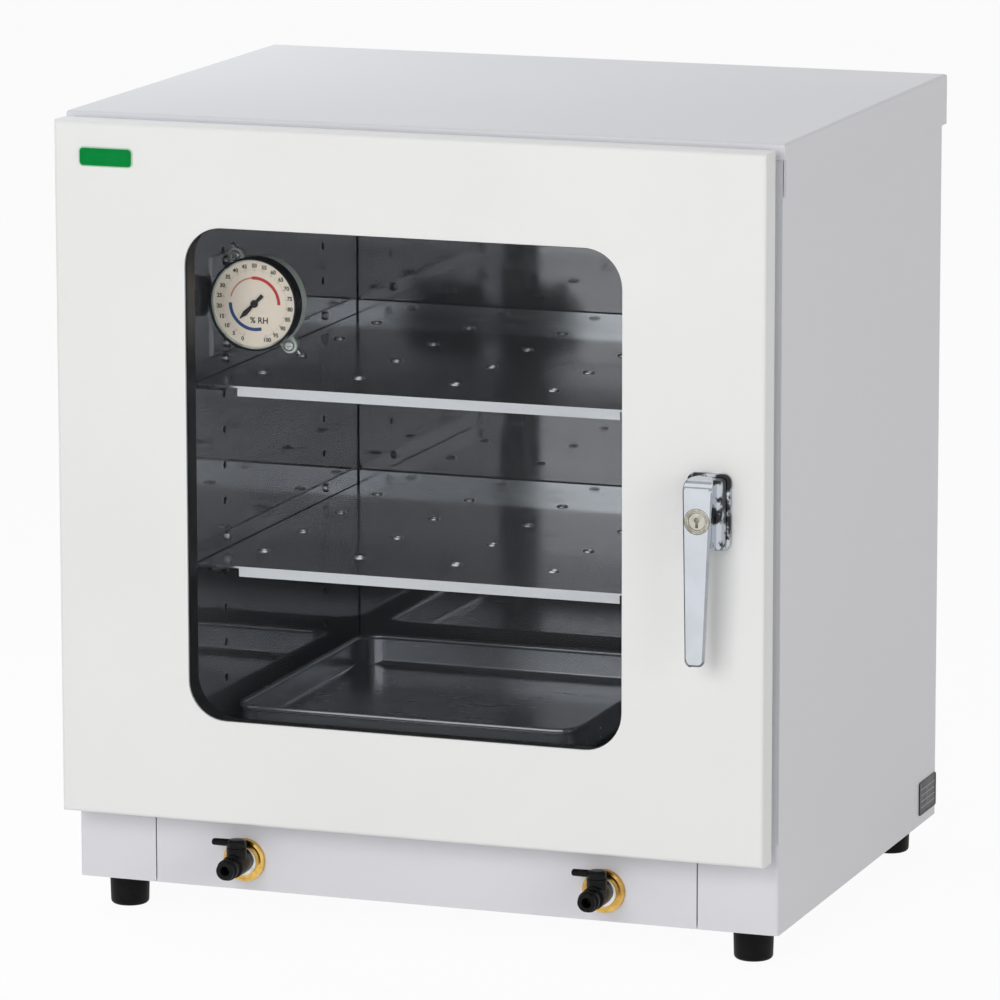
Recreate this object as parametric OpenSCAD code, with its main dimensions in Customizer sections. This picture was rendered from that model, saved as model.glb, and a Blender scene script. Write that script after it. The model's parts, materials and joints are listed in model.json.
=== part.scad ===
// Bench-top desiccator cabinet: a painted steel case round a polished steel chamber, with a glazed
// door on the left-hand hinges, a locking lever handle, two drilled shelves, a desiccant tray,
// a dial hygrometer and two purge valves in the plinth.
// Inside the file x = 0 is the middle of the cabinet, y = 0 the face of the front frame with +y to
// the back, and z = 0 the underside of the case. placed() moves all of it to the part's own origin,
// which is the middle of the footprint, on the surface that the feet stand on.

/* [Case] */
// Width over the side panels
body_w = 474; // [440:2:640]
// Depth from the front frame to the back of the side panels
body_d = 350; // [330:2:460]
// Height from the underside of the case to the top of the cover
body_h = 500; // [490:2:660]
// Painted sheet thickness
sheet_t = 1.5; // [1:0.1:2]
// Outside radius of the sheet bends
bend_r = 2.5; // [2.2:0.1:4]
// Height of the plinth below the door
plinth_h = 50; // [44:1:70]
// How far the plinth panels run up behind the door
plinth_lap = 8; // [4:1:14]
// Width of each side panel's return across the front of the plinth
return_w = 53; // [30:1:70]
// Open seam on each side of the valve panel
seam = 0.8; // [0.4:0.1:1.5]
// Width of the flanges along the bottom of the side panels
floor_flange = 45; // [30:1:60]
// Width of the flanges along the back of the side panels
back_flange = 15; // [10:1:25]
// Depth of the flanges behind the front frame and the valve panel
frame_flange = 12; // [8:1:20]

/* [Cover] */
// Height of the cover's side and back flanges
cover_lap = 33; // [20:1:50]
// Height of the cover's front flange
cover_front = 10; // [6:1:14]
// Air gap between the cover's flanges and the case
cover_gap = 0.5; // [0.3:0.1:1]

/* [Chamber] */
// Inside width of the chamber
chamber_w = 320; // [280:2:360]
// Inside height of the chamber
chamber_h = 364; // [340:2:390]
// Distance from the front frame to the chamber's back wall
chamber_d = 305; // [280:1:325]
// Height of the chamber floor over the underside of the case
chamber_floor = 88; // [80:1:100]
// Polished sheet thickness
liner_t = 1.2; // [0.8:0.1:2]
// Distance of the front and rear hole columns from the chamber's ends
column_inset = 65; // [50:1:90]
// Diameter of the holes in the chamber's side walls
wall_hole_d = 5; // [4:0.5:6]
// Holes in each column
wall_holes = 13; // [9:2:15]

/* [Shelves] */
// Height of the lower shelf's top over the chamber floor
lower_shelf = 121.5; // [100:0.5:130]
// Height from one shelf to the next
shelf_pitch = 117; // [90:0.5:120]
// Shelf plate thickness
shelf_t = 1.2; // [1:0.1:2]
// Distance from the front frame to the shelf's lip
shelf_front = 10; // [8:1:30]
// Gap behind a shelf
shelf_back_gap = 3; // [2:0.5:10]
// Height of the turned-down front lip
lip_h = 6.5; // [5:0.5:10]
// Gap between a rail's leg and the end of the lip
lip_gap = 4; // [2:0.5:8]
// Height of the turned-up back edge
back_rise = 9; // [6:1:14]
// Diameter of the shelf holes
shelf_hole_d = 6; // [4:0.5:8]
// Spacing of the shelf holes across the shelf
hole_pitch_x = 66; // [50:1:70]
// Spacing of the shelf holes front to back
hole_pitch_y = 68.5; // [50:0.5:70]
// Distance from the lip to the first row of holes
first_row = 52.5; // [30:0.5:60]
// Width of a shelf rail's level leg
rail_leg = 26; // [16:1:30]
// Height of a rail's upright leg above the shelf
rail_rise = 11; // [8:1:14]
// Rail thickness
rail_t = 1.5; // [1:0.1:2]

/* [Tray] */
// Width of the desiccant tray
tray_w = 236; // [180:2:260]
// Depth of the tray, front to back
tray_d = 238; // [180:2:250]
// Height of the tray
tray_h = 22; // [16:1:30]
// Tray wall thickness
tray_t = 1; // [0.8:0.1:1.5]
// Corner radius of the tray
tray_r = 16; // [10:1:30]
// Radius where the tray's walls meet its bottom
tray_edge_r = 5; // [3:0.5:8]
// Diameter of the rolled rim
rim_d = 4; // [3:0.5:6]
// Distance from the front frame to the tray
tray_front = 48; // [30:1:60]
// Sideways place of the tray
tray_x = -32; // [-38:1:38]

/* [Door] */
// Gap between the edge of the case and the edge of the door, on each side
door_side = 1; // [0.5:0.5:3]
// Gap from the door's top edge up to the top of the cover
door_top_gap = 2.5; // [2:0.5:6]
// Depth of the door's outer shell
shell_d = 18; // [16:1:26]
// How far the inner pan stands out behind the shell
pan_step = 6; // [4:0.5:10]
// How far the inner pan's flanges reach inside the shell
pan_nest = 8; // [5:1:12]
// Space between the closed door and the front frame
door_gap = 6; // [6:0.5:8]
// Width of the window
window_w = 291; // [240:1:300]
// Height of the window
window_h = 317; // [260:1:340]
// Corner radius of the window
window_r = 25; // [15:1:40]
// Sideways place of the window on the door
window_x = -2; // [-6:1:6]
// Distance from the door's bottom edge to the window
window_up = 67; // [50:1:80]
// Thickness of the clear pane
pane_t = 5; // [3:0.5:6]
// How far the pane reaches past the window on each side
pane_lap = 12; // [8:1:16]
// Thickness of the rubber channel round the pane
seal_t = 1.5; // [1:0.1:2]
// Width of the rubber door gasket
gasket_w = 12; // [8:1:14]
// Distance from the chamber's mouth to the gasket
gasket_inset = 4; // [2:1:8]

/* [Hinges] */
// Length of a hinge
hinge_l = 60; // [45:1:80]
// Width of a hinge leaf
leaf_w = 28; // [20:1:34]
// Hinge leaf thickness
leaf_t = 1.5; // [1:0.1:1.8]
// Diameter of the hinge pin
pin_d = 3; // [2.4:0.1:3.4]
// Distance from the door's ends to the near end of each hinge
hinge_inset = 60; // [30:1:90]

/* [Handle] */
// Distance from the handle's pivot to the door's right edge
handle_inset = 35; // [32:1:40]
// Height of the handle's pivot over the door's bottom edge
handle_up = 222.5; // [150:0.5:300]
// Width of the handle's base
base_w = 28; // [24:1:34]
// Height of the handle's base
base_h = 48; // [40:1:60]
// Thickness of the base's foot plate
base_plate_t = 4; // [3:0.5:6]
// Depth of the raised part of the base
base_boss_d = 12; // [10:0.5:18]
// Depth of the lever, from the base to its front face
lever_d = 10.7; // [9:0.1:14]
// Length of the lever below its pivot
lever_l = 91.5; // [70:0.5:120]
// Height of the lever above its pivot
lever_top = 26.5; // [20:0.5:30]
// Width of the lever at its top
lever_w = 20.5; // [18:0.5:26]
// Width of the lever at its tip
lever_tip_w = 13.5; // [10:0.5:18]
// Radius over the top of the lever
lever_top_r = 9; // [5:0.5:10]
// Radius of the corners at the lever's tip
lever_tip_r = 4; // [2:0.5:6]
// Diameter of the turning spindle
spindle_d = 8; // [6:0.5:9]
// Diameter of the lock barrel
barrel_d = 16; // [13:0.5:17]
// Diameter of the lock plug that the key turns
plug_d = 11; // [8:0.5:12]
// Reach of the latch pawl from the pivot
pawl_l = 27; // [22:0.5:29]
// Width of the latch pawl
pawl_w = 13; // [10:0.5:15]
// Thickness of the latch pawl
pawl_t = 3; // [2:0.5:4]
// Thickness of the strike plate behind the front frame
strike_t = 2.7; // [1.5:0.1:3]
// Gap between the strike plate and the pawl behind it
pawl_gap = 1; // [0.5:0.1:2]

/* [Hygrometer] */
// Outside diameter
gauge_d = 60; // [50:1:70]
// Depth from the bezel's face to the bracket
gauge_depth = 20; // [16:1:26]
// Depth of the bezel
bezel_l = 10.5; // [8:0.5:12]
// Distance from the chamber's left wall to the dial's centre
gauge_in = 36.5; // [34:0.5:60]
// Height of the dial's centre over the upper shelf
gauge_up = 50.5; // [44:0.5:60]
// Distance from the front frame to the dial's front
gauge_front = 24; // [14:0.5:30]
// Width of the bezel's face
bezel_w = 1.6; // [1.2:0.1:3]
// Angle of the pointer at rest, clockwise from straight down
pointer_rest = 45; // [0:1:270]

/* [Valves] */
// Distance of each valve from the middle of the cabinet
valve_x = 122; // [90:1:150]
// Height of the valves over the underside of the case
valve_z = 20; // [18:0.5:26]
// Diameter of the brass flange
flange_d = 28; // [24:0.5:32]
// Thickness of the brass flange
flange_t = 3; // [2:0.5:5]
// Diameter of the pale collar
collar_d = 19; // [16.5:0.5:21]
// Thickness of the pale collar
collar_t = 3; // [2:0.5:4]
// Diameter of the valve body
valve_d = 15; // [13:0.5:16]
// Length of the valve body
valve_l = 17; // [16:0.5:24]
// Outside diameter of the hose socket
socket_d = 12; // [10:0.1:13]
// Length of the hose socket
socket_l = 12; // [10:0.5:18]
// Bore of the hose socket
socket_bore = 6.2; // [4.2:0.1:8]
// Length of the valve's lever from its pivot
cock_l = 16.5; // [12:0.5:18]
// Height of the valve's lever over the middle of the valve
cock_up = 11.5; // [10:0.5:14]
// Thickness of the valve's lever
cock_t = 4.5; // [3:0.5:6]
// Diameter of the turning plug under the lever
cock_plug_d = 8; // [6:0.5:9]
// Diameter of the gas way
gas_way_d = 4; // [3:0.5:5]

/* [Feet and plates] */
// Height of the rubber feet
foot_h = 22; // [15:1:30]
// Diameter of the feet
foot_d = 26; // [22:1:30]
// Distance from a side panel to the middle of a foot
foot_side = 24; // [18:1:28]
// Distance from the front and the back to the middle of a foot
foot_end = 25; // [18:1:40]
// Size of the coloured plate at the door's top left corner
badge_size = [36.5, 12.5];
// Distance of that plate's left and top edges from the door's edges
badge_inset = [17.5, 16];
// Size of the data plate low on the right side
nameplate_size = [38, 22.5];
// Distance of the data plate from the back and the underside of the case
nameplate_inset = [2, 6.5];

/* [Hidden] */
$fn = 64;
eps = 0.01;
run_gap = 0.05;      // radial clearance of a shaft in its bore
seat_gap = 0.3;      // clearance of a piece that slides or swings past its seat
thread_gap = 0.2;    // radial clearance of a fastener in its hole

// Case
side_x = body_w / 2;                                  // outer face of a side panel
side_in = side_x - sheet_t;                           // its inner face
cover_over = sheet_t + cover_gap;                     // overhang and bend radius of the cover
cover_under = body_h - sheet_t;                       // underside of the cover
plinth_top = plinth_h + plinth_lap;
frame_top = cover_under;
chamber_mid = chamber_floor + chamber_h / 2;

// Shelves: [level of the top face over the underside of the case]
shelf_low_z = chamber_floor + lower_shelf;
shelf_high_z = shelf_low_z + shelf_pitch;
shelf_w = chamber_w - 2 * rail_t - 2;
shelf_d = chamber_d - shelf_front - shelf_back_gap;
rail_front = shelf_front - 4;
rail_back = chamber_d - shelf_back_gap;
rail_screw_up = 7.6;                                  // rail screws over the shelf's top face
column_y = [column_inset, chamber_d - column_inset + liner_t];
wall_pitch = shelf_pitch / 5;
lowest_wall_hole = shelf_low_z + rail_screw_up - 4 * wall_pitch;

// Door
door_w = body_w - 2 * door_side;
door_front = -(shell_d + pan_step + door_gap);        // y of the door's front face
door_back = -door_gap;                                // y of the inner pan's back face
door_h = body_h - door_top_gap - plinth_h;
door_mid = plinth_h + door_h / 2;
window_z = plinth_h + window_up + window_h / 2;
pane_front = door_front + sheet_t + seal_t;
pane_back = pane_front + pane_t;
pan_w = door_w - 2 * sheet_t - 0.2;
pan_h = door_h - 2 * sheet_t - 0.2;
pan_d = pan_step + pan_nest;
reveal = 3;                                           // of the pan's window past the shell's
seal_show = 0.6;                                      // of the rubber channel inside the window

// Hinges
hinge_r = door_gap / 2 - seat_gap;                    // radius of the knuckles
hinge_x = -(side_x + cover_over - hinge_r - seat_gap); // the pin's line
hinge_y = -door_gap / 2;
hinge_low = plinth_h + hinge_inset;
hinge_high = plinth_h + door_h - hinge_inset - hinge_l;

// Handle
pivot_x = door_w / 2 - handle_inset;
pivot_z = plinth_h + handle_up;
base_rise = 2;                                        // middle of the base over the pivot
hub_back = door_front - base_plate_t - base_boss_d - seat_gap;
lever_face = hub_back - lever_d;
barrel_depth = 7.5;
pawl_front = sheet_t + strike_t + pawl_gap;
pawl_back = pawl_front + pawl_t;
slot_r = pawl_w / 2 + 3.5;
slot_rise = pawl_l - pawl_w / 2 + 1;
stud_d = 6;                                           // threaded end of the spindle
hub_drop = 16;                                        // of the thick part of the lever below the pivot

// Hygrometer
gauge_x = -chamber_w / 2 + gauge_in;
gauge_z = shelf_high_z + gauge_up;
gauge_case_d = gauge_d - 2 * bezel_w + 0.8;           // of the part inside the bezel
gauge_back = gauge_front + gauge_depth;
gauge_ear_t = 2.5;
ear_r = 5;
ear_reach = gauge_d / 2 + 3.5;                        // of the two ears, from the dial's centre
ear_angle = -57;
bracket_t = 1.5;
bracket_y = column_inset + 3;
bracket_drop = 6.5;                                   // of the bracket's middle below the dial's
bracket_screw_gap = 53;

// Valves: y of the faces, counted forward from the valve panel
collar_front = -flange_t - collar_t;
valve_front = collar_front - valve_l;
socket_front = valve_front - socket_l;
cock_y = collar_front - valve_l * 0.5;
thread_d = 12;
thread_end = 14;                                      // y where the valve's thread ends
nut_flats = 17;
tube_d = 8;
tube_y = 42;                                          // where a tube meets the chamber floor
tube_bend = 14;

// Where the bounding box lies, for the origin
front_most = min(lever_face, socket_front);
back_most = body_d + cover_over;
middle_y = (front_most + back_most) / 2;

// ---- helpers ----

module placed() {
    translate([0, -middle_y, foot_h]) children();
}

// A rounded rectangle about the origin
module round_rect(w, h, r) {
    square([w - 2 * r, h], center = true);
    square([w, h - 2 * r], center = true);
    for (sx = [-1, 1], sy = [-1, 1])
        translate([sx * (w / 2 - r), sy * (h / 2 - r)]) circle(r);
}

// A plate standing in the XZ plane, its outline drawn as x and z, from y0 to y1
module upright(y0, y1) {
    translate([0, y1, 0]) rotate([90, 0, 0]) linear_extrude(y1 - y0) children();
}

// A cylinder along y
module rod_y(x, z, d, y0, y1) {
    translate([x, y0, z]) rotate([-90, 0, 0]) cylinder(d = d, h = y1 - y0);
}

// A plain rectangular block from its two corners
module block(a, b) {
    translate(a) cube(b - a);
}

// The section across a folded pan: w wide, d deep, its two lower corners bent to radius r
module bent_section(w, d, r) {
    translate([-w / 2, r]) square([w, d - r]);
    translate([-w / 2 + r, 0]) square([w - 2 * r, d]);
    for (s = [-1, 1]) translate([s * (w / 2 - r), r]) circle(r);
}

// A block w by h by d, its face at z = 0 with mitred bent edges of radius r
module bent_block(w, h, d, r) {
    intersection() {
        translate([0, h / 2, 0]) rotate([90, 0, 0]) linear_extrude(h) bent_section(w, d, r);
        translate([-w / 2, 0, 0]) rotate([90, 0, 90]) linear_extrude(w) bent_section(h, d, r);
    }
}

// A folded sheet pan: its closed face at z = 0 and its open side at z = d
module bent_pan(w, h, d, r, t) {
    difference() {
        bent_block(w, h, d, r);
        translate([0, 0, t]) bent_block(w - 2 * t, h - 2 * t, d, r - t);
    }
}

// A pan-head screw with its nut along +x, the seat of its head at the origin
module screw_x(d, head_d, head_h, grip, nut_h) {
    rotate([0, 90, 0]) {
        translate([0, 0, -head_h]) cylinder(d = head_d, h = head_h);
        translate([0, 0, -eps]) cylinder(d = d, h = grip + nut_h + 1.5);
        translate([0, 0, grip]) cylinder(d = d * 2, h = nut_h, $fn = 6);
    }
}

// ---- case ----

// One side panel, drawn for the right-hand side
module side_panel() {
    difference() {
        union() {
            block([side_in, 0, 0], [side_x, body_d, cover_under]);
            block([side_x - return_w, 0, 0], [side_x, sheet_t, plinth_top]);
            block([side_x - floor_flange, 0, 0], [side_x, body_d, sheet_t]);
            block([side_x - back_flange, body_d - sheet_t, 0], [side_x, body_d, cover_under]);
        }
        // bend radii along the front of the plinth, the bottom and the back
        corner_round([side_x, 0], plinth_top);
        corner_round([side_x, body_d], cover_under);
        for (y = [foot_end, body_d - foot_end])
            translate([side_x - foot_side, y, -1]) cylinder(d = 5.4, h = sheet_t + 2);
        for (z = screw_rows())
            rod_y(side_x - back_flange / 2, z, 4.4, body_d - sheet_t - 1, body_d + 1);
    }
}

// What a bend of radius bend_r takes off an upright corner of the case
module corner_round(at, h) {
    sy = at[1] > 0 ? 1 : -1;
    difference() {
        translate([at[0] - bend_r, at[1] - (sy > 0 ? bend_r : 0), -1])
            cube([bend_r + 1, bend_r + (sy > 0 ? 1 : 0), h + 2]);
        translate([at[0] - bend_r, at[1] - sy * bend_r, -2]) cylinder(r = bend_r, h = h + 4);
    }
}

// Heights of the screws down each edge of the back panel
function screw_rows() = [for (i = [0:3]) 30 + i * (cover_under - cover_lap - 60) / 3];

module side_left() {
    color("whitesmoke") placed() mirror([1, 0, 0]) side_panel();
}

module side_right() {
    color("whitesmoke") placed() side_panel();
}

module back_panel() {
    color("gainsboro") placed() difference() {
        block([-side_in, body_d - 2 * sheet_t, 2 * sheet_t],
              [side_in, body_d - sheet_t, cover_under]);
        for (s = [-1, 1], z = screw_rows())
            rod_y(s * (side_x - back_flange / 2), z, 4.4, body_d - 4 * sheet_t, body_d);
        for (x = cover_screw_x())
            rod_y(x, body_h - cover_lap / 2, 4.4, body_d - 4 * sheet_t, body_d);
    }
}

module back_screws() {
    color("silver") placed()
        for (s = [-1, 1], z = screw_rows()) {
            rod_y(s * (side_x - back_flange / 2), z, 4, body_d - 7, body_d + eps);
            rod_y(s * (side_x - back_flange / 2), z, 8, body_d, body_d + 1.6);
        }
}

module base_plate() {
    color("gainsboro") placed() difference() {
        block([-side_in, sheet_t, sheet_t], [side_in, body_d - sheet_t, 2 * sheet_t]);
        foot_holes(3 * sheet_t);
    }
}

// Holes for the foot screws, up to height h
module foot_holes(h) {
    for (p = foot_places()) translate([p[0], p[1], -1]) cylinder(d = 5.4, h = h + 1);
}

// The feet: front left, front right, back left, back right
function foot_places() = [for (y = [foot_end, body_d - foot_end], s = [-1, 1])
    [s * (side_x - foot_side), y]];

module valve_panel() {
    half = side_x - return_w - seam;
    color("whitesmoke") placed() difference() {
        union() {
            block([-half, 0, 0], [half, sheet_t, plinth_top]);
            block([-half, 0, 0], [half, frame_flange, sheet_t]);
            block([-half, 0, plinth_top - sheet_t], [half, frame_flange, plinth_top]);
        }
        for (s = [-1, 1]) rod_y(s * valve_x, valve_z, thread_d + 2 * thread_gap, -1, sheet_t + 1);
    }
}

module top_cover() {
    w = body_w + 2 * cover_over;
    d = body_d + 2 * cover_over;
    color("lightsteelblue") placed() difference() {
        translate([0, body_d / 2, body_h]) mirror([0, 0, 1])
            bent_pan(w, d, cover_lap, cover_over, sheet_t);
        // the front flange is shorter than the others
        block([-w / 2 - 1, -cover_over - 1, body_h - cover_lap - 1],
              [w / 2 + 1, 0, body_h - cover_front]);
        for (x = cover_screw_x()) {
            rod_y(x, body_h - cover_lap / 2, 4.4, body_d - 1, body_d + cover_over + 1);
            rod_y(x, body_h - cover_lap / 2, 8, body_d + cover_over - 0.8, body_d + cover_over + 1);
        }
    }
}

function cover_screw_x() = [for (i = [-1:1]) i * body_w * 0.36];

module cover_screws() {
    color("silver") placed() for (x = cover_screw_x()) {
        rod_y(x, body_h - cover_lap / 2, 4, body_d - 9, body_d + cover_over);
        rod_y(x, body_h - cover_lap / 2, 7.6, body_d + cover_over - 0.8, body_d + cover_over);
    }
}

module front_frame() {
    color("white") placed() difference() {
        union() {
            block([-side_in, 0, plinth_top], [side_in, sheet_t, frame_top]);
            block([-side_in, 0, plinth_top], [side_in, frame_flange, plinth_top + sheet_t]);
            block([-side_in, 0, frame_top - sheet_t], [side_in, frame_flange, frame_top]);
            for (s = [-1, 1])
                translate([s * (side_in - sheet_t / 2) - sheet_t / 2, 0, plinth_top])
                    cube([sheet_t, frame_flange, frame_top - plinth_top]);
        }
        block([-chamber_w / 2 - liner_t, -1, chamber_floor - liner_t],
              [chamber_w / 2 + liner_t, sheet_t + 1, chamber_floor + chamber_h + liner_t]);
        // slot that the latch pawl passes through
        translate([pivot_x, 0, pivot_z]) upright(-1, sheet_t + 1) {
            circle(slot_r);
            translate([-slot_r, 0]) square([2 * slot_r, slot_rise]);
            translate([0, slot_rise]) circle(slot_r);
        }
    }
}

module strike_plate() {
    x0 = pivot_x + slot_r + 0.8;
    color("silver") placed() difference() {
        block([x0, sheet_t, pivot_z - 17], [side_in - sheet_t - 1, sheet_t + strike_t, pivot_z + 17]);
        for (s = [-1, 1]) rod_y(x0 + 8, pivot_z + s * 12.5, 3.4, 0, sheet_t + strike_t + 1);
    }
}

module chamber_liner() {
    w = chamber_w / 2;
    top = chamber_floor + chamber_h;
    color("silver") placed() difference() {
        block([-w - liner_t, 0, chamber_floor - liner_t], [w + liner_t, chamber_d, top + liner_t]);
        block([-w, -1, chamber_floor], [w, chamber_d + 1, top]);
        for (y = column_y, i = [0:wall_holes - 1])
            translate([-w - 2 * liner_t, y, lowest_wall_hole + i * wall_pitch])
                rotate([0, 90, 0]) cylinder(d = wall_hole_d, h = chamber_w + 4 * liner_t);
        for (z = bracket_screw_z())
            translate([-w - 2 * liner_t, bracket_y, z]) rotate([0, 90, 0])
                cylinder(d = 4.4, h = 4 * liner_t);
        for (s = [-1, 1]) translate([s * valve_x, tube_y, chamber_floor - 2 * liner_t])
            cylinder(d = tube_d + 2 * run_gap, h = 4 * liner_t);
    }
}

module liner_back() {
    w = chamber_w / 2 + liner_t;
    color("silver") placed()
        block([-w, chamber_d, chamber_floor - liner_t],
              [w, chamber_d + liner_t, chamber_floor + chamber_h + liner_t]);
}

module nameplate() {
    r = 2;
    color("black") placed()
        translate([side_x, body_d - nameplate_inset[0] - nameplate_size[0] / 2,
                   nameplate_inset[1] + nameplate_size[1] / 2])
            rotate([90, 0, 90]) linear_extrude(0.8)
                round_rect(nameplate_size[0], nameplate_size[1], r);
}

// ---- feet ----

// One rubber foot, k counted as in foot_places()
module foot(k) {
    p = foot_places()[k];
    color("dimgray") placed() translate([p[0], p[1], -foot_h]) difference() {
        union() {
            cylinder(d1 = foot_d - 2.4, d2 = foot_d - 0.8, h = 1.6);
            translate([0, 0, 1.6]) cylinder(d1 = foot_d - 0.8, d2 = foot_d, h = foot_h - 1.6);
        }
        translate([0, 0, -1]) cylinder(d = 11, h = foot_h - 5);
        cylinder(d = 5.4, h = foot_h + 1);
    }
}

module foot_front_left() { foot(0); }
module foot_front_right() { foot(1); }
module foot_back_left() { foot(2); }
module foot_back_right() { foot(3); }

module foot_screws() {
    color("silver") placed() for (p = foot_places()) translate([p[0], p[1], -6]) {
        translate([0, 0, -3]) cylinder(d = 9, h = 3);
        translate([0, 0, -eps]) cylinder(d = 5, h = 6 + 2 * sheet_t + 6);
        translate([0, 0, 6 + 2 * sheet_t]) cylinder(d = 10, h = 4, $fn = 6);
    }
}

// ---- shelves and tray ----

// A shelf rail under a shelf at level z, drawn for the right-hand wall
module rail(z) {
    w = chamber_w / 2;
    under = z - shelf_t;
    difference() {
        union() {
            block([w - rail_leg, rail_front, under - rail_t], [w, rail_back, under]);
            block([w - rail_t, rail_front, under - rail_t], [w, rail_back, z + rail_rise]);
        }
        for (y = column_y) translate([w - 2 * rail_t, y, z + rail_screw_up])
            rotate([0, 90, 0]) cylinder(d = 4.4, h = 3 * rail_t);
    }
}

module rail_upper_left() { color("silver") placed() mirror([1, 0, 0]) rail(shelf_high_z); }
module rail_upper_right() { color("silver") placed() rail(shelf_high_z); }
module rail_lower_left() { color("silver") placed() mirror([1, 0, 0]) rail(shelf_low_z); }
module rail_lower_right() { color("silver") placed() rail(shelf_low_z); }

module rail_screws() {
    color("silver") placed()
        for (m = [0, 1], y = column_y, z = [shelf_low_z, shelf_high_z])
            mirror([m, 0, 0])
                translate([chamber_w / 2 - rail_t, y, z + rail_screw_up])
                    screw_x(4, 6, 2, rail_t + liner_t, 3);
}

module shelf(z) {
    lip_half = chamber_w / 2 - rail_t - rail_leg - lip_gap;
    x_half = shelf_w / 2;
    back = shelf_front + shelf_d;
    color("lightgray") placed() difference() {
        union() {
            block([-x_half, shelf_front, z - shelf_t], [x_half, back, z]);
            block([-lip_half, shelf_front, z - lip_h], [lip_half, shelf_front + shelf_t, z]);
            block([-x_half, back - shelf_t, z - shelf_t], [x_half, back, z + back_rise]);
        }
        for (i = [-2:2], j = [0:3])
            translate([i * hole_pitch_x, shelf_front + first_row + j * hole_pitch_y, z - 2 * shelf_t])
                cylinder(d = shelf_hole_d, h = 4 * shelf_t);
    }
}

module shelf_upper() { shelf(shelf_high_z); }
module shelf_lower() { shelf(shelf_low_z); }

// The tray's solid: w by d by h with corner radius r and bottom radius e
module tray_block(w, d, h, r, e) {
    intersection() {
        bent_block(w, d, h, e);
        linear_extrude(h) round_rect(w, d, r);
    }
}

module desiccant_tray() {
    w = tray_w - rim_d;
    d = tray_d - rim_d;
    wall_h = tray_h - rim_d / 2;
    color("silver") placed()
        translate([tray_x, tray_front + tray_d / 2, chamber_floor]) {
            difference() {
                tray_block(w, d, wall_h, tray_r, tray_edge_r);
                translate([0, 0, tray_t])
                    tray_block(w - 2 * tray_t, d - 2 * tray_t, wall_h, tray_r - tray_t,
                               tray_edge_r - tray_t);
            }
            // rolled rim
            translate([0, 0, wall_h]) {
                for (s = [-1, 1]) {
                    translate([s * w / 2, d / 2 - tray_r, 0]) rotate([90, 0, 0])
                        cylinder(d = rim_d, h = d - 2 * tray_r);
                    translate([tray_r - w / 2, s * d / 2, 0]) rotate([0, 90, 0])
                        cylinder(d = rim_d, h = w - 2 * tray_r);
                }
                for (k = [0:3]) translate([(k == 0 || k == 3 ? 1 : -1) * (w / 2 - tray_r),
                                           (k < 2 ? 1 : -1) * (d / 2 - tray_r), 0])
                    rotate([0, 0, 90 * k]) rotate_extrude(angle = 90)
                        translate([tray_r, 0]) circle(d = rim_d);
            }
        }
}

// ---- door ----

module window(grow) {
    translate([window_x, window_z])
        round_rect(window_w + 2 * grow, window_h + 2 * grow, window_r + grow);
}

module door_shell() {
    color("whitesmoke") placed() difference() {
        translate([0, door_front, door_mid]) rotate([-90, 0, 0])
            bent_pan(door_w, door_h, shell_d, bend_r, sheet_t);
        upright(door_front - 1, door_front + sheet_t + 1) window(0);
        rod_y(pivot_x, pivot_z, spindle_d + 2, door_front - 1, door_front + sheet_t + 1);
    }
}

module door_pan() {
    color("white") placed() difference() {
        translate([0, door_back, door_mid]) rotate([90, 0, 0])
            bent_pan(pan_w, pan_h, pan_d, bend_r, sheet_t);
        upright(pane_back, door_back + 1) window(reveal + sheet_t);
        rod_y(pivot_x, pivot_z, spindle_d + 2, door_back - sheet_t - 1, door_back + 1);
    }
}

// The sheet-metal rim that holds the pane forward in the shell
module window_collar() {
    color("white") placed() difference() {
        upright(pane_back + seal_t, door_back) window(reveal + sheet_t);
        upright(pane_back, door_back + 1) window(reveal);
    }
}

module window_seal() {
    color("black") placed() difference() {
        upright(pane_front - seal_t, pane_back + seal_t) window(pane_lap + seal_t);
        upright(pane_front - seal_t - 1, pane_back + seal_t + 1) window(-seal_show);
        upright(pane_front, pane_back) window(pane_lap);
        upright(pane_back - eps, pane_back + seal_t + 1) window(reveal);
    }
}

module window_pane() {
    color("darkslategray", 0.5) placed() upright(pane_front, pane_back) window(pane_lap);
}

module door_gasket() {
    g = gasket_inset;
    color("dimgray") placed() translate([0, 0, chamber_mid]) difference() {
        upright(door_back, -seat_gap)
            round_rect(chamber_w + 2 * (g + gasket_w), chamber_h + 2 * (g + gasket_w), gasket_w + 6);
        upright(door_back - 1, 1) round_rect(chamber_w + 2 * g, chamber_h + 2 * g, 6);
    }
}

module badge() {
    color("seagreen") placed()
        translate([badge_inset[0] + badge_size[0] / 2 - door_w / 2, 0,
                   plinth_h + door_h - badge_inset[1] - badge_size[1] / 2])
            upright(door_front - 0.8, door_front) round_rect(badge_size[0], badge_size[1], 3);
}

// ---- hinges ----

// One leaf from height z, its plate from depth y, with the knuckles listed in own
module hinge_leaf(z, y, own, others) {
    k_l = hinge_l / 5;
    color("silver") placed() difference() {
        union() {
            block([hinge_x, y, z], [hinge_x + leaf_w, y + leaf_t, z + hinge_l]);
            for (k = own) translate([hinge_x, hinge_y, z + k * k_l + (k > 0 ? 0.15 : 0)])
                cylinder(r = hinge_r, h = k_l - (k > 0 && k < 4 ? 0.3 : 0.15));
        }
        translate([hinge_x, hinge_y, z - 1]) cylinder(d = pin_d + 2 * run_gap, h = hinge_l + 2);
        for (k = others) translate([hinge_x, hinge_y, z + k * k_l - 0.15])
            cylinder(r = hinge_r + seat_gap, h = k_l + 0.3);
    }
}

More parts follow.
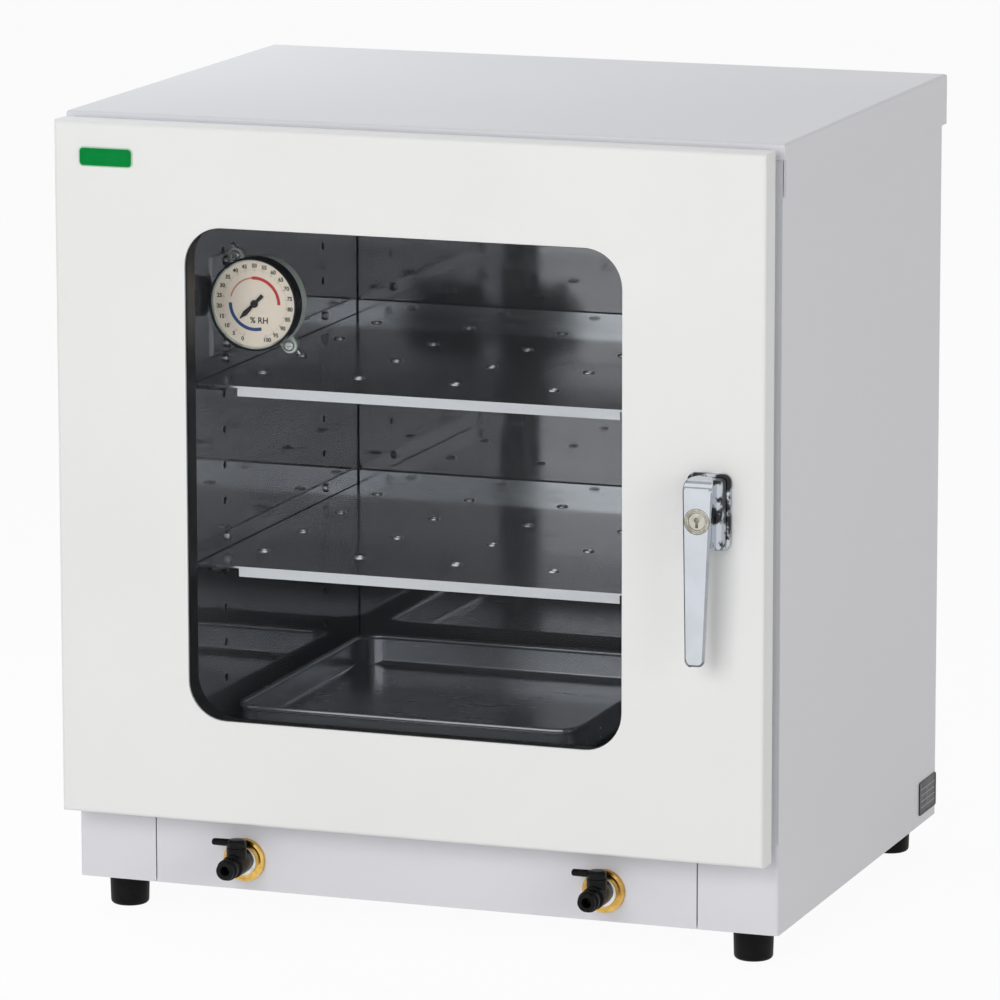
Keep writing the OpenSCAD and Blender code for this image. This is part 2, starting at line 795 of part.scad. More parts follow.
module body_leaf_upper() { hinge_leaf(hinge_high, -leaf_t, [0, 2, 4], [1, 3]); }
module body_leaf_lower() { hinge_leaf(hinge_low, -leaf_t, [0, 2, 4], [1, 3]); }
module door_leaf_upper() { hinge_leaf(hinge_high, door_back, [1, 3], [0, 2, 4]); }
module door_leaf_lower() { hinge_leaf(hinge_low, door_back, [1, 3], [0, 2, 4]); }

module hinge_pins() {
    color("silver") placed() for (z = [hinge_low, hinge_high])
        translate([hinge_x, hinge_y, z]) {
            cylinder(d = pin_d, h = hinge_l);
            translate([0, 0, hinge_l]) cylinder(d = 2 * hinge_r - 0.4, h = 1.2);
        }
}

// ---- handle and latch ----

module handle_base() {
    color("silver") placed() translate([pivot_x, 0, pivot_z]) difference() {
        translate([0, 0, base_rise]) union() {
            upright(door_front - base_plate_t, door_front) round_rect(base_w, base_h, 5);
            upright(door_front - base_plate_t - base_boss_d, door_front - base_plate_t + eps)
                round_rect(base_w - 7, base_h - 8, 5);
        }
        rod_y(0, 0, spindle_d + 2 * run_gap, hub_back - 1, door_front + 1);
    }
}

// Front view of the lever, its pivot at the origin
module lever_outline() {
    r = 4;
    tip = lever_tip_w / 2;
    e = lever_tip_r;
    polygon([[-lever_w / 2, lever_top - r], [-tip, e - lever_l],
             [tip, e - lever_l], [lever_w / 2, lever_top - r]]);
    translate([e - tip, -lever_l]) square([2 * (tip - e), e + eps]);
    for (s = [-1, 1]) translate([s * (tip - e), e - lever_l]) circle(e);
    translate([r - lever_w / 2, lever_top - r - eps]) square([lever_w - 2 * r, r + eps]);
    for (s = [-1, 1]) translate([s * (lever_w / 2 - r), lever_top - r]) circle(r);
}

// Side view of the lever: rounded over at the top, its grip leaning away from the door
module lever_profile() {
    r = lever_top_r;
    tip_t = lever_d * 0.72;
    difference() {
        intersection() {
            translate([lever_face, -lever_l]) square([lever_d, lever_l + lever_top]);
            union() {
                translate([lever_face, -lever_l]) square([lever_d, lever_l + lever_top - r]);
                translate([lever_face + r, 0]) square([lever_d, lever_top]);
                translate([lever_face + r, lever_top - r]) circle(r);
            }
        }
        polygon([[hub_back + 1, -hub_drop], [hub_back, -hub_drop],
                 [lever_face + tip_t, -lever_l - 1], [hub_back + 1, -lever_l - 1]]);
    }
}

module lever() {
    color("silver") placed() translate([pivot_x, 0, pivot_z]) {
        difference() {
            intersection() {
                upright(lever_face - 1, hub_back) lever_outline();
                translate([-lever_w, 0, 0]) rotate([90, 0, 90])
                    linear_extrude(2 * lever_w) lever_profile();
            }
            rod_y(0, 0, barrel_d, lever_face - 1, lever_face + barrel_depth);
        }
        rod_y(0, 0, spindle_d, hub_back - eps, pawl_front);
        difference() {
            rod_y(0, 0, stud_d, pawl_front - eps, pawl_back + 7);
            // two flats carry the pawl round
            for (s = [-1, 1]) translate([s * stud_d * 0.5 - stud_d * 0.1, pawl_front, -stud_d])
                cube([stud_d * 0.2, pawl_t, 2 * stud_d]);
        }
    }
}

module lock_barrel() {
    color("wheat") placed() translate([pivot_x, 0, pivot_z]) difference() {
        rod_y(0, 0, barrel_d, lever_face, lever_face + barrel_depth);
        rod_y(0, 0, plug_d + 2 * run_gap, lever_face - 1, lever_face + barrel_depth - 1);
        // shallow ring round the face
        difference() {
            rod_y(0, 0, barrel_d - 1.4, lever_face - 1, lever_face + 0.4);
            rod_y(0, 0, barrel_d - 2.4, lever_face - 2, lever_face + 1);
        }
    }
}

module lock_plug() {
    color("tan") placed() translate([pivot_x, 0, pivot_z]) difference() {
        rod_y(0, 0, plug_d, lever_face + 0.2, lever_face + barrel_depth - 1);
        // keyway
        block([-0.9, lever_face - 1, -plug_d * 0.34], [0.9, lever_face + 5, plug_d * 0.3]);
        rod_y(0, 0, 2.6, lever_face - 1, lever_face + 5);
    }
}

// Pointing up with the lever down
module latch_pawl() {
    long = pawl_l - pawl_w / 2;
    color("gray") placed() translate([pivot_x, 0, pivot_z]) upright(pawl_front, pawl_back)
        difference() {
            union() {
                circle(d = pawl_w);
                translate([-pawl_w / 2, 0]) square([pawl_w, long]);
                translate([0, long]) circle(d = pawl_w);
            }
            intersection() {
                circle(d = stud_d + 2 * run_gap);
                square([stud_d * 0.8 + 2 * run_gap, 2 * stud_d], center = true);
            }
        }
}

module pawl_nut() {
    color("silver") placed() translate([pivot_x, pawl_back, pivot_z]) rotate([-90, 0, 0])
        difference() {
            cylinder(d = 11.5, h = 5, $fn = 6);
            translate([0, 0, -1]) cylinder(d = stud_d + 2 * run_gap, h = 7);
        }
}

// ---- hygrometer ----

// The strap between the two ears, w wide
module ear_shape() {
    rotate(ear_angle) {
        square([2 * ear_reach, 2 * ear_r], center = true);
        for (s = [-1, 1]) translate([s * ear_reach, 0]) circle(ear_r);
    }
}

module ear_holes(d) {
    rotate(ear_angle) for (s = [-1, 1]) translate([s * ear_reach, 0]) circle(d = d);
}

module gauge_case() {
    color("darkgray") placed() translate([gauge_x, 0, gauge_z]) difference() {
        union() {
            rod_y(0, 0, gauge_case_d, gauge_front + 2, gauge_back);
            rod_y(0, 0, gauge_d, gauge_front + bezel_l, gauge_back - 1.5);
            upright(gauge_back - gauge_ear_t, gauge_back) ear_shape();
        }
        rod_y(0, 0, gauge_case_d - 2, gauge_front + 1, gauge_front + 5);
        rod_y(0, 0, 2 + 2 * run_gap, gauge_front, gauge_front + 8);
        upright(gauge_back - gauge_ear_t - 1, gauge_back + 1) ear_holes(3.4);
    }
}

module gauge_bezel() {
    color("black") placed() difference() {
        rod_y(gauge_x, gauge_z, gauge_d, gauge_front, gauge_front + bezel_l);
        rod_y(gauge_x, gauge_z, gauge_d - 2 * bezel_w, gauge_front - 1, gauge_front + 2);
        rod_y(gauge_x, gauge_z, gauge_case_d + 2 * run_gap, gauge_front + 1, gauge_front + bezel_l + 1);
    }
}

module gauge_dial() {
    color("cornsilk") placed() difference() {
        rod_y(gauge_x, gauge_z, gauge_case_d - 2, gauge_front + 4, gauge_front + 5);
        rod_y(gauge_x, gauge_z, 2 + 2 * run_gap, gauge_front + 3, gauge_front + 6);
    }
}

module gauge_pointer() {
    r = gauge_case_d / 2 - 5;
    color("black") placed() translate([gauge_x, 0, gauge_z]) {
        upright(gauge_front + 2.8, gauge_front + 3.4) rotate(-90 - pointer_rest)
            polygon([[-r * 0.35, -1.1], [-r * 0.35, 1.1], [r * 0.8, 0.4], [r * 0.8, -0.4]]);
        rod_y(0, 0, 5, gauge_front + 2.5, gauge_front + 3.7);
        rod_y(0, 0, 2, gauge_front + 3.6, gauge_front + 7);
    }
}

module gauge_lens() {
    color("white", 0.3) placed()
        rod_y(gauge_x, gauge_z, gauge_case_d, gauge_front + 1, gauge_front + 2);
}

function bracket_screw_z() = [for (s = [-1, 1]) gauge_z - bracket_drop + s * bracket_screw_gap / 2];

module gauge_bracket() {
    w = chamber_w / 2;
    z = gauge_z - bracket_drop;
    half = bracket_screw_gap / 2 + 5.5;
    color("silver") placed() difference() {
        union() {
            block([-w, gauge_back, z - half], [bracket_t - w, bracket_y + 10, z + half]);
            block([-w, gauge_back, gauge_z - 13], [gauge_x, gauge_back + bracket_t, gauge_z + 13]);
            translate([gauge_x, 0, gauge_z]) upright(gauge_back, gauge_back + bracket_t) {
                circle(13);
                ear_shape();
            }
        }
        for (zs = bracket_screw_z()) translate([-w - 1, bracket_y, zs]) rotate([0, 90, 0])
            cylinder(d = 4.4, h = 4);
        translate([gauge_x, 0, gauge_z]) upright(gauge_back - 1, gauge_back + bracket_t + 1)
            ear_holes(3.4);
    }
}

module bracket_screws() {
    color("silver") placed() for (z = bracket_screw_z())
        translate([bracket_t - chamber_w / 2, bracket_y, z]) mirror([1, 0, 0])
            screw_x(4, 7, 2.2, bracket_t + liner_t, 3);
}

// Two bolts with wing nuts through the ears
module gauge_clamp() {
    color("silver") placed() translate([gauge_x, 0, gauge_z]) for (s = [-1, 1]) {
        x = s * ear_reach * cos(ear_angle);
        z = s * ear_reach * sin(ear_angle);
        nut = gauge_back + bracket_t;
        rod_y(x, z, 6, gauge_back - gauge_ear_t - 2, gauge_back - gauge_ear_t);
        rod_y(x, z, 3, gauge_back - gauge_ear_t - eps, nut + 8);
        rod_y(x, z, 7, nut, nut + 4.5);
        // the two wings
        for (w = [-1, 1]) translate([x, 0, z]) rotate([0, 30, 0])
            translate([w * 6.5, 0, 0]) upright(nut + 1.5, nut + 8) square([8, 1.6], center = true);
    }
}

// ---- purge valves ----

module valve_flanges() {
    color("goldenrod") placed() for (s = [-1, 1]) difference() {
        union() {
            rod_y(s * valve_x, valve_z, flange_d - 1.6, -flange_t, -flange_t + 0.8 + eps);
            rod_y(s * valve_x, valve_z, flange_d, -flange_t + 0.8, 0);
        }
        rod_y(s * valve_x, valve_z, thread_d + 2 * thread_gap, -flange_t - 1, 1);
    }
}

module valve_collars() {
    color("lightgray") placed() for (s = [-1, 1]) difference() {
        rod_y(s * valve_x, valve_z, collar_d, collar_front, -flange_t);
        rod_y(s * valve_x, valve_z, thread_d + 2 * thread_gap, collar_front - 1, -flange_t + 1);
    }
}

module valve_body(x) {
    color("black") placed() translate([x, 0, valve_z]) difference() {
        union() {
            rod_y(0, 0, valve_d, valve_front, collar_front);
            rod_y(0, 0, socket_d, socket_front, valve_front + eps);
            rod_y(0, 0, socket_d + 2, socket_front + 3.5, socket_front + 6);
            rod_y(0, 0, thread_d, collar_front - eps, thread_end);
            translate([0, cock_y, 0]) cylinder(d = valve_d - 2, h = cock_up - seat_gap);
        }
        // hose socket, gas way and the rear seat for the inner tube
        rod_y(0, 0, socket_bore, socket_front - 1, socket_front + socket_l - 2);
        rod_y(0, 0, gas_way_d, socket_front, thread_end);
        rod_y(0, 0, tube_d + 2 * run_gap, thread_end - 8, thread_end + 1);
        translate([0, cock_y, -gas_way_d])
            cylinder(d = cock_plug_d + 2 * run_gap, h = gas_way_d + cock_up + 1);
    }
}

module valve_left_body() { valve_body(-valve_x); }
module valve_right_body() { valve_body(valve_x); }

// The lever and plug of a valve, shut, its lever pointing left
module valve_cock(x) {
    color("black") placed() translate([x, cock_y, valve_z]) {
        difference() {
            translate([0, 0, 0.3 - gas_way_d]) cylinder(d = cock_plug_d, h = cock_up + gas_way_d - 0.2);
            translate([-cock_plug_d, 0, 0]) rotate([0, 90, 0])
                cylinder(d = gas_way_d, h = 2 * cock_plug_d);
        }
        translate([0, 0, cock_up]) cylinder(d = valve_d - 2, h = cock_t + 1.5);
        translate([0, 0, cock_up]) linear_extrude(cock_t) {
            translate([3.2 - cock_l, -3.2]) square([cock_l - 3.2, 6.4]);
            translate([3.2 - cock_l, 0]) circle(3.2);
        }
    }
}

module valve_left_cock() { valve_cock(-valve_x); }
module valve_right_cock() { valve_cock(valve_x); }

module valve_nuts() {
    color("silver") placed() for (s = [-1, 1])
        translate([s * valve_x, sheet_t, valve_z]) rotate([-90, 0, 0]) difference() {
            cylinder(d = nut_flats / cos(30), h = 5, $fn = 6);
            translate([0, 0, -1]) cylinder(d = thread_d + 2 * run_gap, h = 7);
        }
}

module gas_tubes() {
    color("white", 0.6) placed() for (s = [-1, 1]) translate([s * valve_x, 0, 0]) difference() {
        gas_path(tube_d, 0);
        gas_path(gas_way_d, 1);
    }
}

// From the back of the valve to the chamber floor, drawn out at both ends by extra
module gas_path(d, extra) {
    rod_y(0, valve_z, d, thread_end - 8 - extra, tube_y - tube_bend);
    translate([0, tube_y - tube_bend, valve_z + tube_bend]) rotate([90, 0, 90])
        rotate([0, 0, -90]) rotate_extrude(angle = 90) translate([tube_bend, 0]) circle(d = d);
    translate([0, tube_y, valve_z + tube_bend])
        cylinder(d = d, h = chamber_floor - valve_z - tube_bend + extra);
}

side_left();
side_right();
back_panel();
base_plate();
valve_panel();
top_cover();
front_frame();
chamber_liner();
liner_back();
strike_plate();
back_screws();
cover_screws();
nameplate();
foot_front_left();
foot_front_right();
foot_back_left();
foot_back_right();
foot_screws();
rail_upper_left();
rail_upper_right();
rail_lower_left();
rail_lower_right();
rail_screws();
body_leaf_upper();
body_leaf_lower();
door_leaf_upper();
door_leaf_lower();
hinge_pins();
door_shell();
door_pan();
window_collar();
window_pane();
window_seal();
door_gasket();
badge();
handle_base();
lever();
lock_barrel();
lock_plug();
latch_pawl();
pawl_nut();
shelf_upper();
shelf_lower();
desiccant_tray();
gauge_case();
gauge_bezel();
gauge_dial();
gauge_pointer();
gauge_lens();
gauge_bracket();
gauge_clamp();
bracket_screws();
valve_flanges();
valve_collars();
valve_left_body();
valve_right_body();
valve_left_cock();
valve_right_cock();
valve_nuts();
gas_tubes();
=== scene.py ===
import json
import math

import bmesh
import bpy
from bpy.props import FloatProperty, FloatVectorProperty, PointerProperty
from mathutils import Matrix, Vector


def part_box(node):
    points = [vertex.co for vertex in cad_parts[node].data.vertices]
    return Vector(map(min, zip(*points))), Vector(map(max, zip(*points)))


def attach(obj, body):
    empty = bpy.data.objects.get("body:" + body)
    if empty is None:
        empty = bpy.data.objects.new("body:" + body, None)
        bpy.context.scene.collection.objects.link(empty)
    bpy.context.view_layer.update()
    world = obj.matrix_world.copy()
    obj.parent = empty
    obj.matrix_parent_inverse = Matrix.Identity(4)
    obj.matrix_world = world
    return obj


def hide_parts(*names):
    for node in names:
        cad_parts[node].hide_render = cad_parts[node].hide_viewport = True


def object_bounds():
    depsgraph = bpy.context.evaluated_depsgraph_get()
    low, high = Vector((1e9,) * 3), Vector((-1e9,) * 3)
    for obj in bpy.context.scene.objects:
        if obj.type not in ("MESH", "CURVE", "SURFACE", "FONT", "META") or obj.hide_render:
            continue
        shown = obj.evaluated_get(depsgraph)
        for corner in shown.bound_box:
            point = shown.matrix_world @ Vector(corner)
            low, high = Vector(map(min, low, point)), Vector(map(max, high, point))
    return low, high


bl_info = {
    "name": "Desiccator Cabinet Finishes",
    "version": (1, 0, 0),
    "blender": (4, 5, 0),
    "location": "View3D > Sidebar > Cabinet",
    "description": "Models the small parts and the finishes of a bench-top desiccator cabinet",
    "category": "Object",
}

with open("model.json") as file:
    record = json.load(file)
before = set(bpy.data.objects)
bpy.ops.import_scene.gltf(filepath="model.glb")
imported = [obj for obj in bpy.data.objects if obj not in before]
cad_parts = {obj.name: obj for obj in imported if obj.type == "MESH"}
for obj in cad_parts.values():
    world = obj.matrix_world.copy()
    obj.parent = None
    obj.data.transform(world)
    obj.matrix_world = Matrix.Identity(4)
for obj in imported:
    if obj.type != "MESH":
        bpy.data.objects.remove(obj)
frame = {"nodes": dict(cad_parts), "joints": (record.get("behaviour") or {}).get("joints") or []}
CAD_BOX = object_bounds()
JOINTS = {joint["name"]: joint for joint in frame["joints"]}
MM = 0.001

# millimetres
TOUCH = 0.1  # how near to a place an edge is picked
OVERLAP = 0.05  # how far joined pieces reach into each other
RAIL_SHEET = BRACKET_SHEET = 1.5
LINER_SHEET = 1.2
M4_NUT = (6.9, 3.0)  # over the flats, and thick

SQUARE = 0.9  # how nearly a face or an edge follows an axis to be picked
SEAM_BLACK = (0.006, 0.006, 0.007)
UPRIGHT_GRAIN = (1.0, 1.0, 0.08)


# ---------------------------------------------------------------------------
# Sizes and colours that a user would change
# ---------------------------------------------------------------------------

COLOUR = {"subtype": "COLOR", "size": 3, "min": 0, "max": 1}
TURN = {"subtype": "ANGLE", "unit": "ROTATION"}
POWER = {"subtype": "POWER", "min": 0, "max": 500}


class SheetFinish(bpy.types.PropertyGroup):
    """Enamel, zinc and steel sheet"""

    # Darker and bluer than the door's enamel, though the cabinet has one paint: painted shade and a
    # painted bluish reflection for the top and sides
    case_colour: FloatVectorProperty(
        name="Case enamel", description="Colour of the side panels, plinth and cover",
        default=(0.737, 0.733, 0.768), **COLOUR)
    door_colour: FloatVectorProperty(
        name="Door enamel", description="Colour of the door's outer shell",
        default=(0.845, 0.842, 0.832), **COLOUR)
    inner_colour: FloatVectorProperty(
        name="Inner enamel", description="Colour of the door's inner pan and the front frame",
        default=(0.80, 0.81, 0.83), **COLOUR)
    # Much darker than bare steel: a painted reflection of the dark surroundings that the polished
    # walls show. The rails and the gauge's bracket take it a quarter lighter.
    chamber_colour: FloatVectorProperty(
        name="Chamber steel", description="Tint of the polished chamber",
        default=(0.30, 0.305, 0.32), **COLOUR)
    shelf_colour: FloatVectorProperty(
        name="Shelf steel", description="Tint of the shelves and their rails",
        default=(0.62, 0.65, 0.68), **COLOUR)
    pane_colour: FloatVectorProperty(
        name="Smoked pane", description="Colour of the window pane",
        default=(0.10, 0.105, 0.115), **COLOUR)
    pane_density: FloatProperty(
        name="Pane density", description="How much of what is behind the pane it hides",
        subtype="FACTOR", min=0, max=1, default=0.03)


class FittingFinish(bpy.types.PropertyGroup):
    """Handle, valves, feet and plates"""

    chrome_colour: FloatVectorProperty(
        name="Handle chrome", description="Tint of the lever and its base",
        default=(0.66, 0.70, 0.75), **COLOUR)
    brass_colour: FloatVectorProperty(
        name="Brass", description="Colour of the valve flanges",
        default=(0.80, 0.52, 0.14), **COLOUR)
    lock_colour: FloatVectorProperty(
        name="Lock", description="Colour of the lock's face",
        default=(0.66, 0.64, 0.57), **COLOUR)
    plate_colour: FloatVectorProperty(
        name="Coloured plate", description="Colour of the plate at the top of the door",
        default=(0.0, 0.225, 0.042), **COLOUR)
    lever_edge: FloatProperty(
        name="Lever edge", description="Radius along the lever's edges, in millimetres",
        min=0.3, max=3, default=2.4)
    foot_edge: FloatProperty(
        name="Foot edge", description="Radius round the bottom of the feet, in millimetres",
        min=0.5, max=4, default=2.6)


class DialLayout(bpy.types.PropertyGroup):
    """The hygrometer's printed dial, in millimetres and degrees"""

    numeral_height: FloatProperty(
        name="Numeral height", description="Height of the numbers", min=1, max=6, default=2.9)
    numeral_radius: FloatProperty(
        name="Numeral ring", description="Radius of the ring of numbers",
        min=10, max=27, default=24.4)
    tick_radius: FloatProperty(
        name="Mark ring", description="Outer radius of the scale marks",
        min=12, max=27.5, default=22.4)
    band_radius: FloatProperty(
        name="Band radius", description="Middle radius of the coloured bands",
        min=8, max=20, default=16.6)
    band_width: FloatProperty(
        name="Band width", description="Width of the coloured bands", min=0.5, max=4, default=2.0)
    scale_sweep: FloatProperty(
        name="Scale sweep", description="Angle from the first number to the last",
        min=180, max=340, default=320)


class StageSettings(bpy.types.PropertyGroup):
    """Floor, lights and camera"""

    ambient: FloatProperty(
        name="Ambient", description="Strength of the even light from all round",
        min=0, max=2, default=0.36)
    key_power: FloatProperty(
        name="Front light", description="Power of the soft light in front", default=68, **POWER)
    side_power: FloatProperty(
        name="Side light", description="Power of the soft light on the right",
        default=18, **POWER)
    top_power: FloatProperty(
        name="Top light", description="Power of the soft light above on the left",
        default=2.6, **POWER)
    camera_distance: FloatProperty(
        name="Camera distance", description="From the camera to the plane it turns about",
        subtype="DISTANCE", unit="LENGTH", min=0.5, max=20, default=4.36905)
    camera_turn: FloatProperty(
        name="Camera turn", description="How far round to the right the camera stands",
        default=math.radians(19.87251), **TURN)
    camera_rise: FloatProperty(
        name="Camera rise", description="How far the camera looks down",
        default=math.radians(10.95475), **TURN)
    lens: FloatProperty(
        name="Lens", description="Focal length in millimetres on a 36 mm sensor",
        min=20, max=600, default=246.90)


# ---------------------------------------------------------------------------
# Modelling helpers. Sizes are millimetres in the frame of the part.
# ---------------------------------------------------------------------------


def corners(node):
    """The lowest and highest corner of a CAD node, in millimetres."""
    low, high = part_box(node)
    return Vector(low) / MM, Vector(high) / MM


def pivot(joint):
    """Where a hinge stands, in millimetres."""
    return Vector(JOINTS[joint]["pos_m"]) / MM


def clear_selection():
    if bpy.context.object and bpy.context.object.mode != "OBJECT":
        bpy.ops.object.mode_set(mode="OBJECT")
    bpy.ops.object.select_all(action="DESELECT")


def choose(*objects):
    """Selects these objects only, the first of them active."""
    clear_selection()
    for obj in objects:
        obj.select_set(True)
    bpy.context.view_layer.objects.active = objects[0]


def settle(name):
    """Names the object just added and puts its place into its mesh."""
    obj = bpy.context.object
    obj.name = name
    obj.data.name = name
    bpy.ops.object.transform_apply(location=True, rotation=True, scale=True)
    return obj


def block(name, low, high):
    """A box between two corners."""
    low, high = Vector(low), Vector(high)
    clear_selection()
    bpy.ops.mesh.primitive_cube_add(size=1, location=(low + high) / 2 * MM)
    bpy.context.object.scale = (high - low) * MM
    return settle(name)


def rod(name, centre, radius, low, high, axis="Y", sides=64):
    """A round bar along an axis. centre gives the two other coordinates, in X, Y, Z order."""
    middle, a, b = (low + high) / 2, *centre
    place = {"X": (middle, a, b), "Y": (a, middle, b), "Z": (a, b, middle)}[axis]
    turn = {"X": (0, math.pi / 2, 0), "Y": (math.pi / 2, 0, 0), "Z": (0, 0, 0)}[axis]
    clear_selection()
    bpy.ops.mesh.primitive_cylinder_add(
        vertices=sides, radius=radius * MM, depth=(high - low) * MM,
        location=Vector(place) * MM, rotation=turn)
    return settle(name)


def edit(obj):
    choose(obj)
    bpy.ops.object.mode_set(mode="EDIT")
    pick_nothing("FACE")


def leave_edit():
    bpy.ops.object.mode_set(mode="OBJECT")


def pick_nothing(kind):
    bpy.ops.mesh.select_mode(type=kind)
    bpy.ops.mesh.select_all(action="DESELECT")


def pick_faces(obj, test):
    """In edit mode, selects the faces whose middle and normal pass the test."""
    pick_nothing("FACE")
    mesh = bmesh.from_edit_mesh(obj.data)
    for face in mesh.faces:
        if test(face.calc_center_median() / MM, face.normal):
            face.select_set(True)
    bmesh.update_edit_mesh(obj.data)


def pick_side(obj, side):
    """In edit mode, selects the faces that look along a side such as "-Y"."""
    sign, axis = (-1 if side[0] == "-" else 1), "XYZ".index(side[1])
    pick_faces(obj, lambda middle, normal: sign * normal[axis] > SQUARE)


def pick_edges(obj, test):
    """In edit mode, selects the edges whose middle and direction pass the test."""
    pick_nothing("EDGE")
    mesh = bmesh.from_edit_mesh(obj.data)
    for edge in mesh.edges:
        a, b = (vertex.co for vertex in edge.verts)
        if test((a + b) / 2 / MM, (b - a).normalized()):
            edge.select_set(True)
    bmesh.update_edit_mesh(obj.data)


def at_front(y):
    """A test for the edges on a piece's front face."""
    return lambda middle, run: middle.y < y + TOUCH


def along(axis):
    """A test for the edges that run along an axis."""
    return lambda middle, run: abs(run["XYZ".index(axis)]) > SQUARE


def extrude(x=0, y=0, z=0):
    bpy.ops.mesh.extrude_region_move(TRANSFORM_OT_translate={"value": Vector((x, y, z)) * MM})


def shift(x=0, y=0, z=0):
    bpy.ops.transform.translate(value=Vector((x, y, z)) * MM)


def inset(width):
    bpy.ops.mesh.inset(thickness=width * MM)


def scale_about(centre, factors):
    bpy.ops.transform.resize(value=factors, center_override=Vector(centre) * MM)


def bevel(width, segments=3, held=True):
    """held keeps neighbouring bevels from meeting, at the cost of a narrower one."""
    bpy.ops.mesh.bevel(offset=width * MM, segments=segments, affect="EDGES", clamp_overlap=held)


def slice_at(point, normal):
    """In edit mode, adds an edge loop where a plane meets the whole piece."""
    bpy.ops.mesh.select_all(action="SELECT")
    bpy.ops.mesh.bisect(plane_co=Vector(point) * MM, plane_no=normal)
    bpy.ops.mesh.select_all(action="DESELECT")


def rounded(obj, test, width, segments=3):
    """Bevels the edges that pass the test."""
    edit(obj)
    pick_edges(obj, test)
    bevel(width, segments)
    leave_edit()
    return obj


def with_modifier(obj, kind, **settings):
    """Adds a modifier, sets it and applies it."""
    choose(obj)
    modifier = obj.modifiers.new(kind.title(), kind)
    for key, value in settings.items():
        setattr(modifier, key, value)
    bpy.ops.object.modifier_apply(modifier=modifier.name)
    return obj


def soften(obj, width, segments=2, angle=38):
    """Rounds the piece's sharp edges."""
    return with_modifier(obj, "BEVEL", width=width * MM, segments=segments, limit_method="ANGLE",
                         angle_limit=math.radians(angle), miter_outer="MITER_ARC")


def cut_out(obj, *tools):
    """Takes the tools away from the piece, and removes them."""
    for tool in tools:
        with_modifier(obj, "BOOLEAN", operation="DIFFERENCE", object=tool, solver="MANIFOLD")
        bpy.data.objects.remove(tool)
    return obj


def join(first, *others):
    choose(first, *others)
    bpy.ops.object.join()
    return first


def moved(x=0, y=0, z=0):
    return Matrix.Translation(Vector((x, y, z)) * MM)


def turned(angle, centre, axis):
    """A turn by an angle in degrees about an axis through a point."""
    there = Matrix.Translation(Vector(centre) * MM)
    return there @ Matrix.Rotation(math.radians(angle), 4, axis) @ there.inverted()


def copy_of(obj, name, matrix):
    """A copy with its own mesh, moved by a matrix."""
    twin = obj.copy()
    twin.data = obj.data.copy()
    twin.name = twin.data.name = name
    bpy.context.scene.collection.objects.link(twin)
    twin.data.transform(matrix)
    return twin


def repeated(model, name, places):
    """One piece with a copy of the model at each place. The model itself goes."""
    copies = [copy_of(model, name, place) for place in places]
    bpy.data.objects.remove(model)
    return join(*copies)


def finish_piece(obj, material, body, replaced=(), angle=35, recalculate=False):
    """Shades a finished piece, and gives it its material, its body and what it stands for."""
    if recalculate:
        edit(obj)
        bpy.ops.mesh.select_all(action="SELECT")
        bpy.ops.mesh.remove_doubles(threshold=1e-6)
        bpy.ops.mesh.normals_make_consistent(inside=False)
        leave_edit()
    choose(obj)
    bpy.ops.object.shade_smooth_by_angle(angle=math.radians(angle))
    obj.data.materials.clear()
    obj.data.materials.append(finish(material))
    if replaced:
        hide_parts(*replaced)
    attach(obj, body)
    return obj


def dress(material, *nodes):
    """Gives CAD nodes their material."""
    for name in nodes:
        mesh = frame["nodes"][name].data
        mesh.materials.clear()
        mesh.materials.append(finish(material))


# ---------------------------------------------------------------------------
# Shader groups
# ---------------------------------------------------------------------------


def connect(tree, value, socket):
    """Links a socket as the value, or sets a plain one."""
    if isinstance(value, bpy.types.NodeSocket):
        tree.links.new(value, socket)
    else:
        socket.default_value = value


def put(tree, kind, settings=None, **inputs):
    """Adds a node with its settings and its inputs, by name with _ for a space."""
    node = tree.nodes.new(kind)
    for key, value in (settings or {}).items():
        setattr(node, key, value)
    for key, value in inputs.items():
        connect(tree, value, node.inputs[key.replace("_", " ")])
    return node


def arrange(tree):
    """Lays the nodes out in columns, each to the left of what it feeds."""
    column = {node.name: 0 for node in tree.nodes}
    for _ in tree.nodes:
        for link in tree.links:
            a, b = link.from_node.name, link.to_node.name
            column[a] = max(column[a], column[b] + 1)
    filled = dict.fromkeys(column.values(), 0)
    for node in tree.nodes:
        place = column[node.name]
        node.location = (-240 * place, -260 * filled[place])
        filled[place] += 1


def maths(tree, operation, *values):
    node = put(tree, "ShaderNodeMath", {"operation": operation})
    for value, socket in zip(values, node.inputs):
        connect(tree, value, socket)
    return node.outputs[0]


def times(tree, a, b):
    return maths(tree, "MULTIPLY", a, b)


def plus(tree, a, b):
    return maths(tree, "ADD", a, b)


def noise(tree, vector, scale, detail=3.0, roughness=0.5):
    return put(tree, "ShaderNodeTexNoise", Vector=vector, Scale=scale, Detail=detail,
               Roughness=roughness).outputs[0]


def span(tree, value, low, high, to_low=0.0, to_high=1.0):
    """Maps a value from one range to another."""
    return put(tree, "ShaderNodeMapRange", Value=value, From_Min=low, From_Max=high,
               To_Min=to_low, To_Max=to_high).outputs[0]


def between(tree, mask, low, high):
    """Maps a mask to a range of values."""
    return span(tree, mask, 0, 1, low, high)


def blend(tree, mask, first, second):
    """Goes from one colour to another as the mask rises."""
    node = put(tree, "ShaderNodeMix", {"data_type": "RGBA"})
    connect(tree, mask, node.inputs[0])
    for colour, socket in ((first, node.inputs[6]), (second, node.inputs[7])):
        plain = not isinstance(colour, bpy.types.NodeSocket)
        connect(tree, (*colour, 1) if plain else colour, socket)
    return node.outputs[2]


def stretched(tree, vector, factors):
    return put(tree, "ShaderNodeMapping", Vector=vector, Scale=factors).outputs[0]


def near(tree, value, target, reach):
    """1 where a coordinate lies within reach of a target, in millimetres, fading to 0."""
    away = maths(tree, "ABSOLUTE", maths(tree, "SUBTRACT", value, target * MM))
    return span(tree, away, reach * MM, reach * 1.6 * MM, 1, 0)


